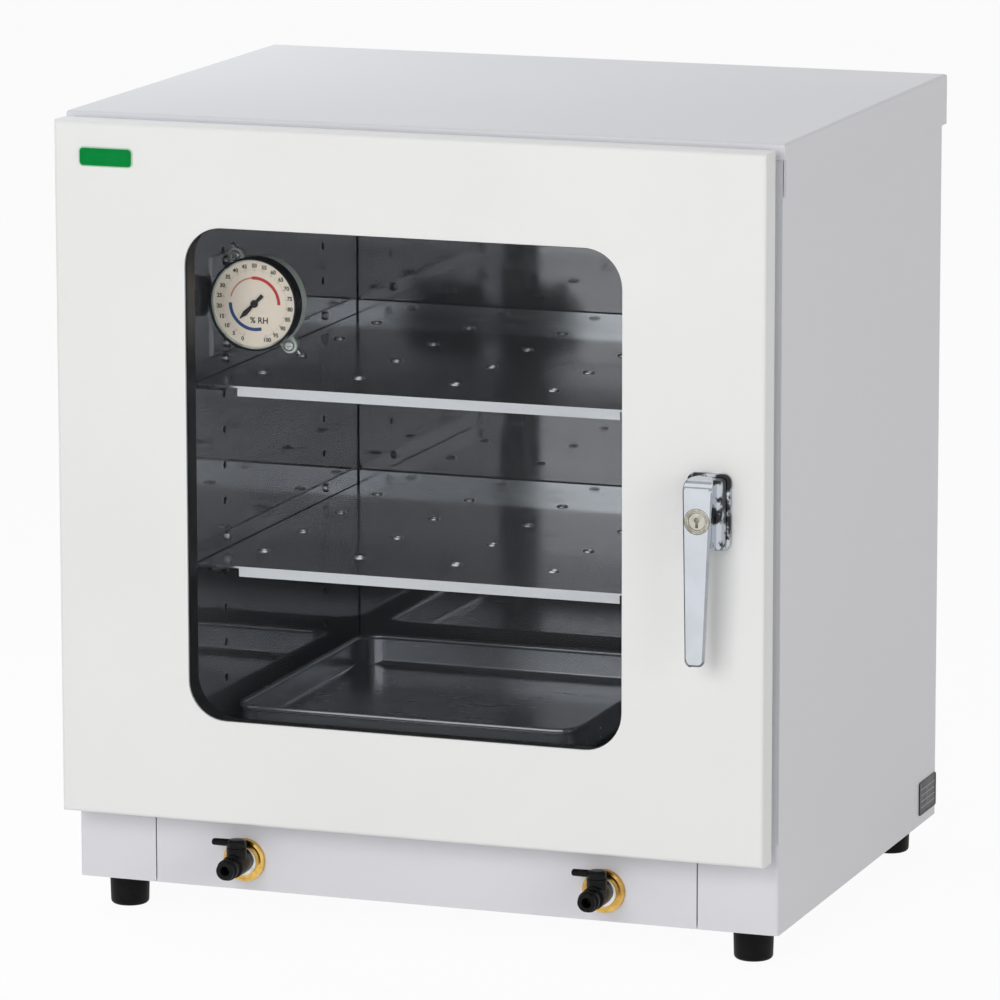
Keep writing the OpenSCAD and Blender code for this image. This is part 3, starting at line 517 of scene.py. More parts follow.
def new_group(name, outputs, **inputs):
    """A shader group with a Vector input, number inputs and number outputs."""
    tree = bpy.data.node_groups.new(name, "ShaderNodeTree")
    tree.interface.new_socket(name="Vector", in_out="INPUT", socket_type="NodeSocketVector")
    for label, value in inputs.items():
        tree.interface.new_socket(name=label, in_out="INPUT",
                                  socket_type="NodeSocketFloat").default_value = value
    for label in outputs:
        tree.interface.new_socket(name=label, in_out="OUTPUT", socket_type="NodeSocketFloat")
    return tree, put(tree, "NodeGroupInput").outputs


def close_group(tree, **outputs):
    put(tree, "NodeGroupOutput", **outputs)
    arrange(tree)


def build_groups():
    """The effects that several finishes share."""
    # sprayed enamel: fine ripple, slow drift in tone, a few specks of dust
    tree, given = new_group("sprayed_enamel", ("Height", "Tone", "Dust"), Ripple=420.0, Drift=5.0)
    place = given["Vector"]
    fine = noise(tree, place, given["Ripple"], 2.0, 0.45)
    coarse = noise(tree, place, times(tree, given["Ripple"], 0.3), 1.0)
    drift = noise(tree, place, given["Drift"], 4.0, 0.55)
    specks = noise(tree, place, 900.0, 1.0)
    patch = noise(tree, place, 14.0, 3.0)
    close_group(tree, Height=plus(tree, fine, times(tree, coarse, 0.6)),
                Tone=span(tree, drift, 0.32, 0.68),
                Dust=times(tree, span(tree, specks, 0.70, 0.80), span(tree, patch, 0.50, 0.75)))

    # polished sheet: slow waves left by rolling, wipe marks, hairline scratches
    tree, given = new_group("polished_sheet", ("Height", "Wipe", "Scratch"),
                            Wave=9.0, Hairline=700.0)
    place = given["Vector"]
    wave = noise(tree, place, given["Wave"], 2.0, 0.5)
    wipe = noise(tree, stretched(tree, place, (7, 16, 30)), 1.0, 5.0, 0.62)
    line = noise(tree, stretched(tree, place, (0.05, 0.4, 1.0)), given["Hairline"], 2.0, 0.6)
    close_group(tree, Height=wave, Wipe=span(tree, wipe, 0.42, 0.72),
                Scratch=span(tree, line, 0.56, 0.74))

    # brushed metal: the caller stretches the vector along the grain
    tree, given = new_group("brushed_grain", ("Height", "Tone"), Grain=300.0)
    hair = noise(tree, given["Vector"], given["Grain"], 4.0, 0.7)
    close_group(tree, Height=hair, Tone=span(tree, hair, 0.30, 0.70))

    # cast and plated metal: clouds of oxide and tiny pits; on the handle's chrome the clouds are
    # painted dark reflection
    tree, given = new_group("tarnish_and_painted_reflection", ("Cloud", "Height"), Cloud=60.0, Pits=1400.0)
    cloud = noise(tree, given["Vector"], given["Cloud"], 5.0, 0.6)
    close_group(tree, Cloud=span(tree, cloud, 0.38, 0.66),
                Height=noise(tree, given["Vector"], given["Pits"], 2.0))

    # moulded rubber and plastic: fine grain, worn patches
    tree, given = new_group("moulded_grain", ("Height", "Worn"), Grain=1600.0, Patch=45.0)
    cells = put(tree, "ShaderNodeTexVoronoi", Vector=given["Vector"], Scale=given["Grain"])
    patch = noise(tree, given["Vector"], given["Patch"], 4.0, 0.6)
    close_group(tree, Height=cells.outputs["Distance"], Worn=span(tree, patch, 0.40, 0.70))


# ---------------------------------------------------------------------------
# Finishes
# ---------------------------------------------------------------------------


def finish(name):
    return bpy.data.materials[name + "_finish"]


def shade(colour, factor, lift=0.0):
    return tuple(min(1.0, part * factor + lift) for part in colour)


def blank(name, **constants):
    """A material with one Principled shader whose constant sockets are set."""
    material = bpy.data.materials.new(name + "_finish")
    material.use_nodes = True
    tree = material.node_tree
    shader = tree.nodes["Principled BSDF"]
    for key, value in constants.items():
        shader.inputs[key.replace("_", " ")].default_value = value
    return tree, shader, put(tree, "ShaderNodeTexCoord").outputs["Object"]


def use_group(tree, name, vector, **inputs):
    group = {"node_tree": bpy.data.node_groups[name]}
    return put(tree, "ShaderNodeGroup", group, Vector=vector, **inputs).outputs


def feed(tree, shader, **sockets):
    """Links values to the shader's sockets."""
    for key, value in sockets.items():
        tree.links.new(value, shader.inputs[key.replace("_", " ")])
    arrange(tree)


def relief(tree, height, strength, depth):
    """A bump whose depth is in millimetres."""
    return put(tree, "ShaderNodeBump", Height=height, Strength=strength,
               Distance=depth * MM).outputs[0]


def enamel(name, colour, gloss=0.34, coat=0.12, ripple=420.0):
    tree, shader, place = blank(name, Coat_Weight=coat, Coat_Roughness=0.12)
    skin = use_group(tree, "sprayed_enamel", place, Ripple=ripple)
    tone = blend(tree, skin["Tone"], shade(colour, 0.975), shade(colour, 1.012))
    dusty = blend(tree, times(tree, skin["Dust"], 0.5), tone, shade(colour, 0.80))
    feed(tree, shader, Base_Color=dusty,
         Roughness=plus(tree, between(tree, skin["Tone"], gloss - 0.03, gloss + 0.04),
                        times(tree, skin["Dust"], 0.25)),
         Normal=relief(tree, skin["Height"], 0.10, 0.06))


def corner_seams(tree, place):
    """A mask of the two upright seams between the chamber's walls and its back."""
    wall, back = corners("rail_upper_right")[1].x, corners("liner_back")[0].y
    axes = put(tree, "ShaderNodeSeparateXYZ", Vector=place).outputs
    return times(tree, near(tree, maths(tree, "ABSOLUTE", axes["X"]), wall, 0.7),
                 near(tree, axes["Y"], back, 0.9))


def polished_steel(name, colour, rough, wave=0.6, seams=False, bare=1.0):
    """bare is 1 for clean metal, and less where a matt film lies over it."""
    tree, shader, place = blank(name, Metallic=bare)
    sheet = use_group(tree, "polished_sheet", place)
    tone = blend(tree, sheet["Wipe"], colour, shade(colour, 0.86))
    if seams:
        tone = blend(tree, corner_seams(tree, place), tone, SEAM_BLACK)
    feed(tree, shader, Base_Color=tone,
         Roughness=plus(tree, between(tree, sheet["Wipe"], rough, rough + 0.07),
                        times(tree, sheet["Scratch"], 0.08)),
         Normal=relief(tree, sheet["Height"], 0.35, wave))


def brushed_steel(name, colour, rough):
    """Sheet whose grain runs upright."""
    tree, shader, place = blank(name, Metallic=1.0)
    grain = use_group(tree, "brushed_grain", stretched(tree, place, UPRIGHT_GRAIN))
    cloud = use_group(tree, "tarnish_and_painted_reflection", place, Cloud=22.0)
    tone = blend(tree, grain["Tone"], shade(colour, 0.90), shade(colour, 1.07))
    feed(tree, shader, Base_Color=blend(tree, cloud["Cloud"], tone, shade(colour, 0.88)),
         Roughness=plus(tree, between(tree, grain["Tone"], rough - 0.05, rough + 0.07),
                        times(tree, cloud["Cloud"], 0.05)),
         Normal=relief(tree, grain["Height"], 0.25, 0.02))


def plated(name, colour, dark, rough, cloud, pits=0.012, edge=(0.0, 1.0)):
    """edge gives the part of the cloud over which it turns from one colour to the other. On most
    metals the cloud is oxide, and on the handle's chrome it is painted dark reflection.
    """
    tree, shader, place = blank(name, Metallic=1.0)
    film = use_group(tree, "tarnish_and_painted_reflection", place, Cloud=cloud)
    feed(tree, shader, Base_Color=blend(tree, span(tree, film["Cloud"], *edge), colour, dark),
         Roughness=between(tree, film["Cloud"], rough, rough + 0.12),
         Normal=relief(tree, film["Height"], 0.2, pits))


def moulded(name, colour, rough=0.5, grain=1600.0, depth=0.02, worn=1.8, specular=0.2):
    tree, shader, place = blank(name, Specular_IOR_Level=specular)
    skin = use_group(tree, "moulded_grain", place, Grain=grain)
    feed(tree, shader, Base_Color=blend(tree, skin["Worn"], colour, shade(colour, worn, 0.004)),
         Roughness=between(tree, skin["Worn"], rough - 0.05, rough + 0.08),
         Normal=relief(tree, skin["Height"], 0.25, depth))


def printed(name, colour, second=None):
    """Ink or card: a fine mottle over a flat colour."""
    tree, shader, place = blank(name)
    skin = use_group(tree, "moulded_grain", place, Grain=900.0, Patch=120.0)
    feed(tree, shader, Base_Color=blend(tree, skin["Worn"], colour, second or shade(colour, 0.93)),
         Roughness=between(tree, skin["Worn"], 0.50, 0.60),
         Normal=relief(tree, skin["Height"], 0.1, 0.01))


def clear_sheet(name, colour, density, specular=0.12):
    """A pane that shows what is behind it, with faint wipe marks."""
    tree, shader, place = blank(name, Specular_IOR_Level=specular)
    wipe = use_group(tree, "polished_sheet", place, Wave=3.0)["Wipe"]
    feed(tree, shader, Base_Color=blend(tree, wipe, colour, shade(colour, 1, 0.004)),
         Roughness=between(tree, wipe, 0.0, 0.03),
         Alpha=between(tree, wipe, density, density + 0.012))


def build_finishes(context):
    sheet, fitting = context.scene.cabinet_sheet, context.scene.cabinet_fitting
    chrome = fitting.chrome_colour
    # The case's copy of the cabinet's paint is darker and bluer than the door's: painted shade and a
    # painted bluish reflection for its top and sides
    enamel("case_enamel", sheet.case_colour)
    enamel("door_enamel", sheet.door_colour, gloss=0.30, coat=0.18)
    enamel("inner_enamel", sheet.inner_colour, gloss=0.42, coat=0.05, ripple=600.0)
    enamel("gauge_enamel", (0.62, 0.70, 0.64), gloss=0.36, coat=0.1, ripple=900.0)

    # The chamber's steel is darkened as a painted reflection of dark surroundings; rail_polish below
    # takes the same colour, a quarter lighter
    polished_steel("chamber_polish", sheet.chamber_colour, rough=0.03, seams=True, bare=0.76)
    polished_steel("shelf_polish", sheet.shelf_colour, rough=0.11, wave=0.25, bare=0.90)
    polished_steel("rail_polish", shade(sheet.chamber_colour, 1.25), rough=0.10, wave=0.2)
    polished_steel("rim_steel", (0.93, 0.94, 0.95), rough=0.30, wave=0.1)
    polished_steel("tray_polish", (0.42, 0.44, 0.47), rough=0.18, wave=0.12, bare=0.80)
    # Near-black for the window's collar: painted shade for the deep reveal round the pane
    brushed_steel("collar_painted_shade", (0.12, 0.125, 0.125), rough=0.45)
    brushed_steel("zinc_sheet", (0.58, 0.59, 0.60), rough=0.36)

    plated("zinc_plate", (0.66, 0.67, 0.69), (0.50, 0.51, 0.52), rough=0.24, cloud=300.0)
    plated("pawl_steel", (0.50, 0.51, 0.52), (0.38, 0.38, 0.38), rough=0.34, cloud=90.0, pits=0.03)
    plated("flange_brass", fitting.brass_colour, (0.52, 0.30, 0.08), rough=0.14, cloud=110.0)
    plated("collar_nickel", (0.74, 0.73, 0.70), (0.58, 0.57, 0.54), rough=0.12, cloud=160.0)
    plated("lock_metal", fitting.lock_colour, shade(fitting.lock_colour, 0.82),
           rough=0.28, cloud=300.0)
    plated("lock_ring", (0.60, 0.58, 0.50), (0.30, 0.29, 0.24), rough=0.22, cloud=300.0)
    plated("handle_chrome", chrome, shade(chrome, 0.93), rough=0.13, cloud=40.0, pits=0.006)
    # Darker copies of the handle's chrome: painted dark reflections for the lever's rim and for
    # streaks across its rolled top
    plated("chrome_painted_dark_rim", shade(chrome, 0.26), shade(chrome, 0.16), rough=0.08, cloud=60.0,
           pits=0.006)
    plated("chrome_painted_grey_shade", shade(chrome, 0.56), shade(chrome, 0.44), rough=0.10, cloud=60.0,
           pits=0.006)
    # The handle base's chrome: its cloud paints dark reflections, going from 0.80 down to 0.05 of the
    # chrome
    plated("base_chrome", shade(chrome, 0.80), shade(chrome, 0.05), rough=0.06, cloud=62.0,
           pits=0.02, edge=(0.42, 0.62))

    moulded("foot_rubber", (0.0045, 0.0045, 0.005), grain=1300.0, worn=2.0, specular=0.10)
    moulded("seal_rubber", (0.020, 0.021, 0.022), rough=0.60, grain=1500.0)
    moulded("gasket_rubber", (0.62, 0.62, 0.65), rough=0.62, grain=1200.0, worn=1.1)
    moulded("valve_plastic", (0.003, 0.003, 0.0035), rough=0.28, grain=1800.0, depth=0.012,
            specular=0.14)
    moulded("bezel_plastic", (0.005, 0.005, 0.006), rough=0.24, grain=1800.0, depth=0.006)
    moulded("plate_green", fitting.plate_colour, rough=0.26, depth=0.005, worn=1.06,
            specular=0.05)
    moulded("plate_edge", (0.42, 0.60, 0.46), rough=0.30, depth=0.005, worn=1.05)
    moulded("plate_black", (0.016, 0.016, 0.018), rough=0.36, depth=0.006, worn=1.5)
    moulded("tube_clear", (0.62, 0.64, 0.64), rough=0.30, depth=0.01, worn=1.05)

    printed("dial_card", (0.96, 0.86, 0.72), (0.97, 0.89, 0.77))
    printed("ink_black", (0.018, 0.018, 0.020))
    printed("ink_red", (0.62, 0.030, 0.035))
    printed("ink_rose", (0.70, 0.27, 0.24))
    printed("ink_blue", (0.004, 0.072, 0.24))
    printed("rule_white", (0.50, 0.51, 0.53))

    clear_sheet("smoked_pane", sheet.pane_colour, sheet.pane_density)
    clear_sheet("clear_lens", (0.90, 0.91, 0.91), 0.01, specular=0.10)


# ---------------------------------------------------------------------------
# Fasteners
# ---------------------------------------------------------------------------


def screw_head(name, radius, height, sides=32):
    """A pan head with a cross recess, its seat at the origin and facing -Y."""
    head = rod(name, (0, 0), radius, -height, 0, sides=sides)
    rounded(head, at_front(-height), height * 0.55, 4)
    reach, half, floor = radius * 0.58, radius * 0.11, -height * 0.45
    return cut_out(head,
                   block("slot_a", (-reach, -height - 1, -half), (reach, floor, half)),
                   block("slot_b", (-half, -height - 1, -reach), (half, floor, reach)))


def hex_nut(name, flats, height, hole):
    """A chamfered nut standing on the XZ plane towards +Y."""
    nut = rod(name, (0, 0), flats / 2 / math.cos(math.pi / 6), 0, height, sides=6)
    soften(nut, 0.35, 2, 30)
    return cut_out(nut, rod("nut_hole", (0, 0), hole, -1, height + 1, sides=32))


def bolt(radius, height, shank, length, sides=(32, 20), nut=None):
    """A screw with its seat at the origin, its head towards -Y and its shank towards +Y. nut gives
    the width over its flats, its height and its distance behind the seat."""
    parts = [screw_head("head", radius, height, sides[0]),
             rod("shank", (0, 0), shank, -OVERLAP, length, sides=sides[1])]
    if nut:
        flats, thick, distance = nut
        parts.append(hex_nut("nut", flats, thick, shank - OVERLAP))
        parts[-1].data.transform(moved(y=distance))
    return join(*parts)


# ---------------------------------------------------------------------------
# The pieces
# ---------------------------------------------------------------------------


class CABINET_OT_finishes(bpy.types.Operator):
    """Build the shader groups and all the finishes"""

    bl_idname = "cabinet.finishes"
    bl_label = "Finishes"

    def execute(self, context):
        build_groups()
        build_finishes(context)
        return {"FINISHED"}


class CABINET_OT_case(bpy.types.Operator):
    """Finish the sheet-metal case and model the screws in its back"""

    bl_idname = "cabinet.case"
    bl_label = "Case"

    def execute(self, context):
        dress("case_enamel", "side_left", "side_right", "top_cover", "valve_panel", "back_panel")
        dress("inner_enamel", "front_frame")
        dress("zinc_sheet", "base_plate", "strike_plate", "body_leaf_upper", "body_leaf_lower")
        dress("zinc_plate", "hinge_pins")
        self.screws("back_screws", 4.0, 1.6, 7.0, 2, 4)
        self.screws("cover_screws", 3.8, 0.8, 10.2, 3, 1)
        return {"FINISHED"}

    def screws(self, node, head, height, shank, columns, rows):
        """A grid of screws that point forward from the back of the case."""
        low, high = corners(node)
        start, reach = low + Vector((head, 0, head)), high - low - Vector((2 * head, 0, 2 * head))
        model = bolt(head, height, 2.0, shank)
        model.data.transform(moved(y=high.y - height) @ Matrix.Rotation(math.pi, 4, "Z"))
        places = [moved(x=start.x + reach.x * i / (columns - 1),
                        z=start.z + reach.z * j / max(1, rows - 1))
                  for i in range(columns) for j in range(rows)]
        finish_piece(repeated(model, node + "_set", places), "zinc_plate", "case", [node])


class CABINET_OT_chamber(bpy.types.Operator):
    """Finish the polished chamber, its rails, shelves and tray, and model the rail screws"""

    bl_idname = "cabinet.chamber"
    bl_label = "Chamber and shelves"

    SHELF_RIM = 9
    HOLE_PITCH = (66, 68.5)
    FIRST_HOLE = 52.5
    HOLE_RIM, BURR = 3.35, 0.6

    def execute(self, context):
        dress("chamber_polish", "chamber_liner", "liner_back")
        dress("rail_polish", "rail_upper_left", "rail_upper_right", "rail_lower_left",
              "rail_lower_right")
        dress("shelf_polish", "shelf_upper", "shelf_lower")
        dress("tray_polish", "desiccant_tray")
        dress("tube_clear", "gas_tubes")
        self.rail_screws()
        for level in ("upper", "lower"):
            self.eyelets(level)
        return {"FINISHED"}

    def eyelets(self, level):
        """The burred rims of the holes in a shelf."""
        low, high = corners(f"shelf_{level}")
        clear_selection()
        bpy.ops.mesh.primitive_torus_add(major_radius=self.HOLE_RIM * MM,
                                         minor_radius=self.BURR * MM,
                                         major_segments=32, minor_segments=10)
        rim = settle("rim")
        edit(rim)
        bpy.ops.mesh.select_all(action="SELECT")
        scale_about((0, 0, 0), (1, 1, 1.25))
        leave_edit()
        across, back = self.HOLE_PITCH
        places = [moved(across * i, low.y + self.FIRST_HOLE + back * j, high.z - self.SHELF_RIM)
                  for i in range(-2, 3) for j in range(4)]
        finish_piece(repeated(rim, f"shelf_{level}_rims", places), "rim_steel",
                     f"{level}_shelf")

    def rail_screws(self):
        """Screws through the rails and the chamber wall, with their nuts outside."""
        low, high = corners("rail_screws")
        wall = corners("rail_upper_right")[1].x
        seat = wall - RAIL_SHEET
        model = bolt(3.0, 2.0, 2.0, high.x - seat, (24, 20), (*M4_NUT, RAIL_SHEET + LINER_SHEET))
        model.data.transform(Matrix.Rotation(-math.pi / 2, 4, "Z"))
        half_turn = Matrix.Rotation(math.pi, 4, "Z")
        places = []
        for y in (low.y + 4, high.y - 4):
            for z in (low.z + 4, high.z - 4):
                places += [moved(seat, y, z), moved(-seat, y, z) @ half_turn]
        finish_piece(repeated(model, "rail_screw_set", places), "zinc_plate", "case",
                     ["rail_screws"])


class CABINET_OT_door(bpy.types.Operator):
    """Finish the door, its window and its hinges"""

    bl_idname = "cabinet.door"
    bl_label = "Door"

    def execute(self, context):
        dress("door_enamel", "door_shell")
        dress("inner_enamel", "door_pan")
        # the collar is near-black as painted shade in the window's reveal
        dress("collar_painted_shade", "window_collar")
        dress("smoked_pane", "window_pane")
        dress("seal_rubber", "window_seal")
        dress("gasket_rubber", "door_gasket")
        dress("zinc_sheet", "door_leaf_upper", "door_leaf_lower")
        return {"FINISHED"}


class CABINET_OT_handle(bpy.types.Operator):
    """Model the lever handle, its base, its lock and the latch behind it"""

    bl_idname = "cabinet.handle"
    bl_label = "Handle and lock"

    # the base: its foot plate and the boss that stands on it
    FOOT_PLATE, BOSS = 4, 12
    # the lever: its width, how much narrower its back is, and how much its tip thins and leans
    GRIP_WIDTH, TIP_WIDTH, BACK_SHARE = 20.5, 13.5, 0.74
    TIP_THINNED, TIP_LEAN = 3.0, 1.6
    # the lever's rolled top, and the radii of its tip's corners and of the two above
    TOP_ROLL, TIP_CORNER, TOP_CORNERS = 8.0, 4.0, (7.5, 5.0)
    SPINDLE, STUD = 4.0, 3.0
    # the radii of the lock's barrel and plug, and the depth of the keyway
    BARREL, PLUG, KEYWAY = 7.95, 5.45, 4.5

    def execute(self, context):
        self.base()
        self.lever(context.scene.cabinet_fitting.lever_edge)
        self.lock()
        self.latch()
        return {"FINISHED"}

    def base(self):
        """A foot plate with a raised, mirror-bright boss, whose finish paints dark reflections on it
        in clouds.
        """
        low, high = corners("handle_base")
        centre = pivot("handle_turn")
        piece = block("handle_foot", (low.x, high.y - self.FOOT_PLATE, low.z), high)
        edit(piece)
        pick_edges(piece, along("Y"))
        bevel(5, 6)
        pick_side(piece, "-Y")
        inset(2.0)
        extrude(y=-self.BOSS)
        pick_edges(piece, at_front(low.y))
        bevel(3.2, 6)
        leave_edit()
        soften(piece, 0.8, 2)
        cut_out(piece, rod("spindle_bore", (centre.x, centre.z), self.SPINDLE + 0.05,
                           low.y - 1, high.y + 1))
        finish_piece(piece, "base_chrome", "door", ["handle_base"])

    def lever(self, edge):
        """The grip: a tapered bar, rolled over at the top, with its spindle and stud."""
        low, high = corners("lever")
        centre = pivot("handle_turn")
        hub, middle_x = centre.y, (low.x + high.x) / 2
        piece = block("lever_grip", low, (high.x, hub, high.z))
        edit(piece)
        # draw the tip in, and thin it from behind
        pick_side(piece, "-Z")
        scale_about((middle_x, hub, low.z), (self.TIP_WIDTH / self.GRIP_WIDTH, 1, 1))
        pick_edges(piece, lambda middle, run: middle.z < low.z + TOUCH and middle.y > hub - TOUCH)
        shift(y=-self.TIP_THINNED)
        # narrow the back, so that the sides slope, and lean the tip away from the door's edge
        pick_side(piece, "+Y")
        scale_about(centre, (self.BACK_SHARE, 1, 1))
        pick_side(piece, "-Z")
        shift(x=-self.TIP_LEAN)
        # roll the top over, round the tip's corners, then round the rim from end to end
        pick_edges(piece, lambda middle, run: middle.z > high.z - TOUCH
                   and middle.y < low.y + TOUCH)
        bevel(self.TOP_ROLL, 12)
        pick_edges(piece, lambda middle, run: middle.z < low.z + TOUCH and abs(run.y) > 0.8)
        bevel(self.TIP_CORNER, 5)
        pick_edges(piece, lambda middle, run: middle.y < hub - 0.5 and abs(run.x) < 0.5
                   and abs(middle.x - middle_x) > 5.5
                   or middle.y < low.y + TOUCH and middle.z < low.z + self.TIP_CORNER + TOUCH)
        bevel(edge, 5, held=False)
        leave_edit()
        for side, reach in zip((-1, 1), self.TOP_CORNERS):
            x = middle_x + side * (high.x - low.x) / 2
            inner, outer = x - side * reach, x + side
            corner = block("corner", (min(inner, outer), low.y - 1, high.z - reach),
                           (max(inner, outer), hub + 1, high.z + 1))
            cut_out(corner, rod("corner_round", (inner, high.z - reach), reach, low.y - 2, hub + 2,
                                sides=80))
            cut_out(piece, corner)
        cut_out(piece, rod("lock_bore", (centre.x, centre.z), self.BARREL + 0.2, low.y - 1,
                           low.y + 7.5, sides=96))
        spindle = rod("lever_spindle", (centre.x, centre.z), self.SPINDLE, hub - 2, high.y - 10.0)
        stud = rod("lever_stud", (centre.x, centre.z), self.STUD, high.y - 11.0, high.y, sides=32)
        rounded(stud, lambda middle, run: middle.y > high.y - TOUCH, 0.6, 2)
        piece = join(piece, spindle, stud)
        finish_piece(piece, "handle_chrome", "handle", ["lever"])
        self.shade_rim(piece, centre, low, high)

    def shade_rim(self, piece, centre, low, high):
        """Paints dark reflections on the rounded rim and the tip, and two streaks across the rolled
        top, with darker copies of the chrome.
        """
        piece.data.materials.append(finish("chrome_painted_dark_rim"))
        piece.data.materials.append(finish("chrome_painted_grey_shade"))
        # index 1 carries the darkest painted reflection, index 2 a lighter painted shade
        edge, painted_grey = 1, 2
        for face in piece.data.polygons:
            normal, place = face.normal, face.center / MM
            below_top = high.z - place.z
            if not -0.98 < normal.y < -0.2 or place.y > centre.y:
                continue
            if below_top < 7.2:
                # two streaks of painted dark reflection across the rolled top
                if below_top > 5.0 or 1.8 < below_top < 3.2:
                    face.material_index = painted_grey
            # the left side and the underside of the tip: the darkest painted reflection
            elif normal.x < -0.15 or normal.z < -0.15 and place.z < low.z + 6:
                face.material_index = edge
            # the lower part of the right side: the lighter painted shade
            elif normal.x > 0.3 and place.z < centre.z - 10:
                face.material_index = painted_grey

    def lock(self):
        """The lock's barrel with a ring round its face, and the plug with its keyway."""
        low, high = corners("lock_barrel")
        centre = (low + high) / 2
        barrel = rod("lock_sleeve", (centre.x, centre.z), self.BARREL, low.y + 0.05, high.y - 0.1,
                     sides=96)
        edit(barrel)
        pick_side(barrel, "-Y")
        for step, depth in ((1.0, 0.45), (0.5, -0.35), (0.9, 6.0)):
            inset(step)
            extrude(y=depth)
        leave_edit()
        soften(barrel, 0.18, 2)
        finish_piece(barrel, "lock_ring", "handle", ["lock_barrel"])
        low, high = corners("lock_plug")
        plug = rod("lock_core", (centre.x, centre.z), self.PLUG, low.y + 0.1, high.y - 0.05)
        soften(plug, 0.4, 3)
        cut_out(plug,
                rod("key_round", (centre.x, centre.z + 0.9), 1.9, low.y - 1, low.y + self.KEYWAY,
                    sides=32),
                block("key_slot", (centre.x - 0.95, low.y - 1, centre.z - 4.0),
                      (centre.x + 0.95, low.y + self.KEYWAY, centre.z + 1)))
        finish_piece(plug, "lock_metal", "key_plug", ["lock_plug"])

    def latch(self):
        dress("pawl_steel", "latch_pawl")
        low, high = corners("pawl_nut")
        middle = (low + high) / 2
        nut = hex_nut("latch_nut", 9.96, high.y - low.y, 3.05)
        nut.data.transform(moved(middle.x, low.y, middle.z))
        finish_piece(nut, "zinc_plate", "handle", ["pawl_nut"])


class CABINET_OT_hygrometer(bpy.types.Operator):
    """Model the hygrometer: bezel, printed dial, pointer and the clamps of its bracket"""

    bl_idname = "cabinet.hygrometer"
    bl_label = "Hygrometer"

    PRINT = 0.005
    UNIT_PLACE = (164, 11.2)
    # the bands of the dial: first and last clock angle, ink, and width as a share of the setting
    BANDS = {
        "dry_band": (164, 270, "ink_blue", 1.1),
        "humid_band": (-6, 90, "ink_red", 1.0),
        "middle_band": (-76, -6, "ink_rose", 0.5),
    }
    # the pointer's rest angle, and how far its tip, shoulder and tail lie from the hub
    POINTER_REST = 225
    TIP, SHOULDER, TAIL = 14, 9, 8
    # the two ears of the case: reach from its middle and slope of the line through them
    EAR_REACH, EAR_SLOPE = 33.5, math.radians(-57)
    WING_TURN = 52

    def execute(self, context):
        layout = context.scene.cabinet_dial
        dress("gauge_enamel", "gauge_case")
        dress("clear_lens", "gauge_lens")
        dress("dial_card", "gauge_dial")
        dress("rail_polish", "gauge_bracket")
        self.centre = pivot("pointer_turn")
        self.face = corners("gauge_dial")[0].y
        self.bezel()
        self.scale(layout)
        self.numerals(layout)
        for name, band in self.BANDS.items():
            self.band(name, layout, *band)
        self.pointer()
        self.clamps()
        self.bracket_screws()
        return {"FINISHED"}

    def bezel(self):
        low, high = corners("gauge_bezel")
        ring = rod("bezel_ring", (self.centre.x, self.centre.z), (high.x - low.x) / 2,
                   low.y, high.y, sides=96)
        edit(ring)
        pick_edges(ring, at_front(low.y))
        bevel(0.55, 3)
        pick_side(ring, "-Y")
        inset(0.9)
        extrude(y=0.9)
        bpy.ops.mesh.delete(type="FACE")
        pick_side(ring, "+Y")
        bpy.ops.mesh.delete(type="FACE")
        leave_edit()
        with_modifier(ring, "SOLIDIFY", thickness=0.7 * MM, offset=-1)
        finish_piece(ring, "bezel_plastic", "case", ["gauge_bezel"])

    def tick(self, outer, length, width):
        """The mark at the top of the scale, a tapered sliver that stands on the dial."""
        x, z = self.centre.x, self.centre.z + outer
        sliver = block("mark", (x - width / 2, self.face - 0.06, z - length),
                       (x + width / 2, self.face - self.PRINT, z))
        edit(sliver)
        pick_side(sliver, "-Z")
        scale_about(self.centre, (0.6, 1, 1))
        leave_edit()
        return sliver

    def clock(self, layout, share):
        """The clock angle at a share of the scale. The gap between its ends is at the bottom."""
        return 180 + (360 - layout.scale_sweep) / 2 + layout.scale_sweep * share

    def scale(self, layout):
        """A mark at every hundredth, longer at every number."""
        marks = []
        for long, length, width in ((True, 1.7, 0.26), (False, 0.9, 0.14)):
            places = [turned(self.clock(layout, step / 100), self.centre, "Y")
                      for step in range(101) if (step % 5 == 0) == long]
            tick = self.tick(layout.tick_radius, length, width)
            marks.append(repeated(tick, "scale_marks", places))
        finish_piece(join(*marks), "ink_black", "case")

    def numerals(self, layout):
        """The numbers 0 to 100 in fives all round, and the unit below the hub."""
        words = [(str(5 * i), self.clock(layout, i / 20), layout.numeral_radius, 1.25)
                 for i in range(21)]
        words.append(("% RH", *self.UNIT_PLACE, 1.875))
        made = []
        for word, clock, radius, factor in words:
            turn = math.radians(clock)
            away = Vector((radius * math.sin(turn), 0, radius * math.cos(turn)))
            place = Vector((self.centre.x, self.face - 0.02, self.centre.z)) + away
            clear_selection()
            bpy.ops.object.text_add(location=place * MM, rotation=(math.pi / 2, 0, 0))
            text = bpy.context.object.data
            text.body = word
            text.size = layout.numeral_height * factor * MM
            text.align_x = text.align_y = "CENTER"
            text.extrude = 0.02 * MM
            text.offset = 0.13 * MM
            text.resolution_u = 4
            bpy.ops.object.convert(target="MESH")
            made.append(settle("dial_numerals"))
        finish_piece(join(*made), "ink_black", "case", recalculate=True)

    def band(self, name, layout, first, last, ink, share):
        """A curved stripe from one clock angle to another."""
        x, z = self.centre.x, self.centre.z + layout.band_radius
        half = layout.band_width * share / 2
        stripe = block(name, (x - 0.01, self.face - 0.07, z - half),
                       (x + 0.01, self.face - self.PRINT, z + half))
        edit(stripe)
        pick_side(stripe, "+X")
        bpy.ops.mesh.spin(steps=int((last - first) / 4), angle=math.radians(last - first),
                          center=self.centre * MM, axis=(0, -1, 0))
        leave_edit()
        stripe.data.transform(turned(first, self.centre, "Y"))
        finish_piece(stripe, ink, "case", recalculate=True)

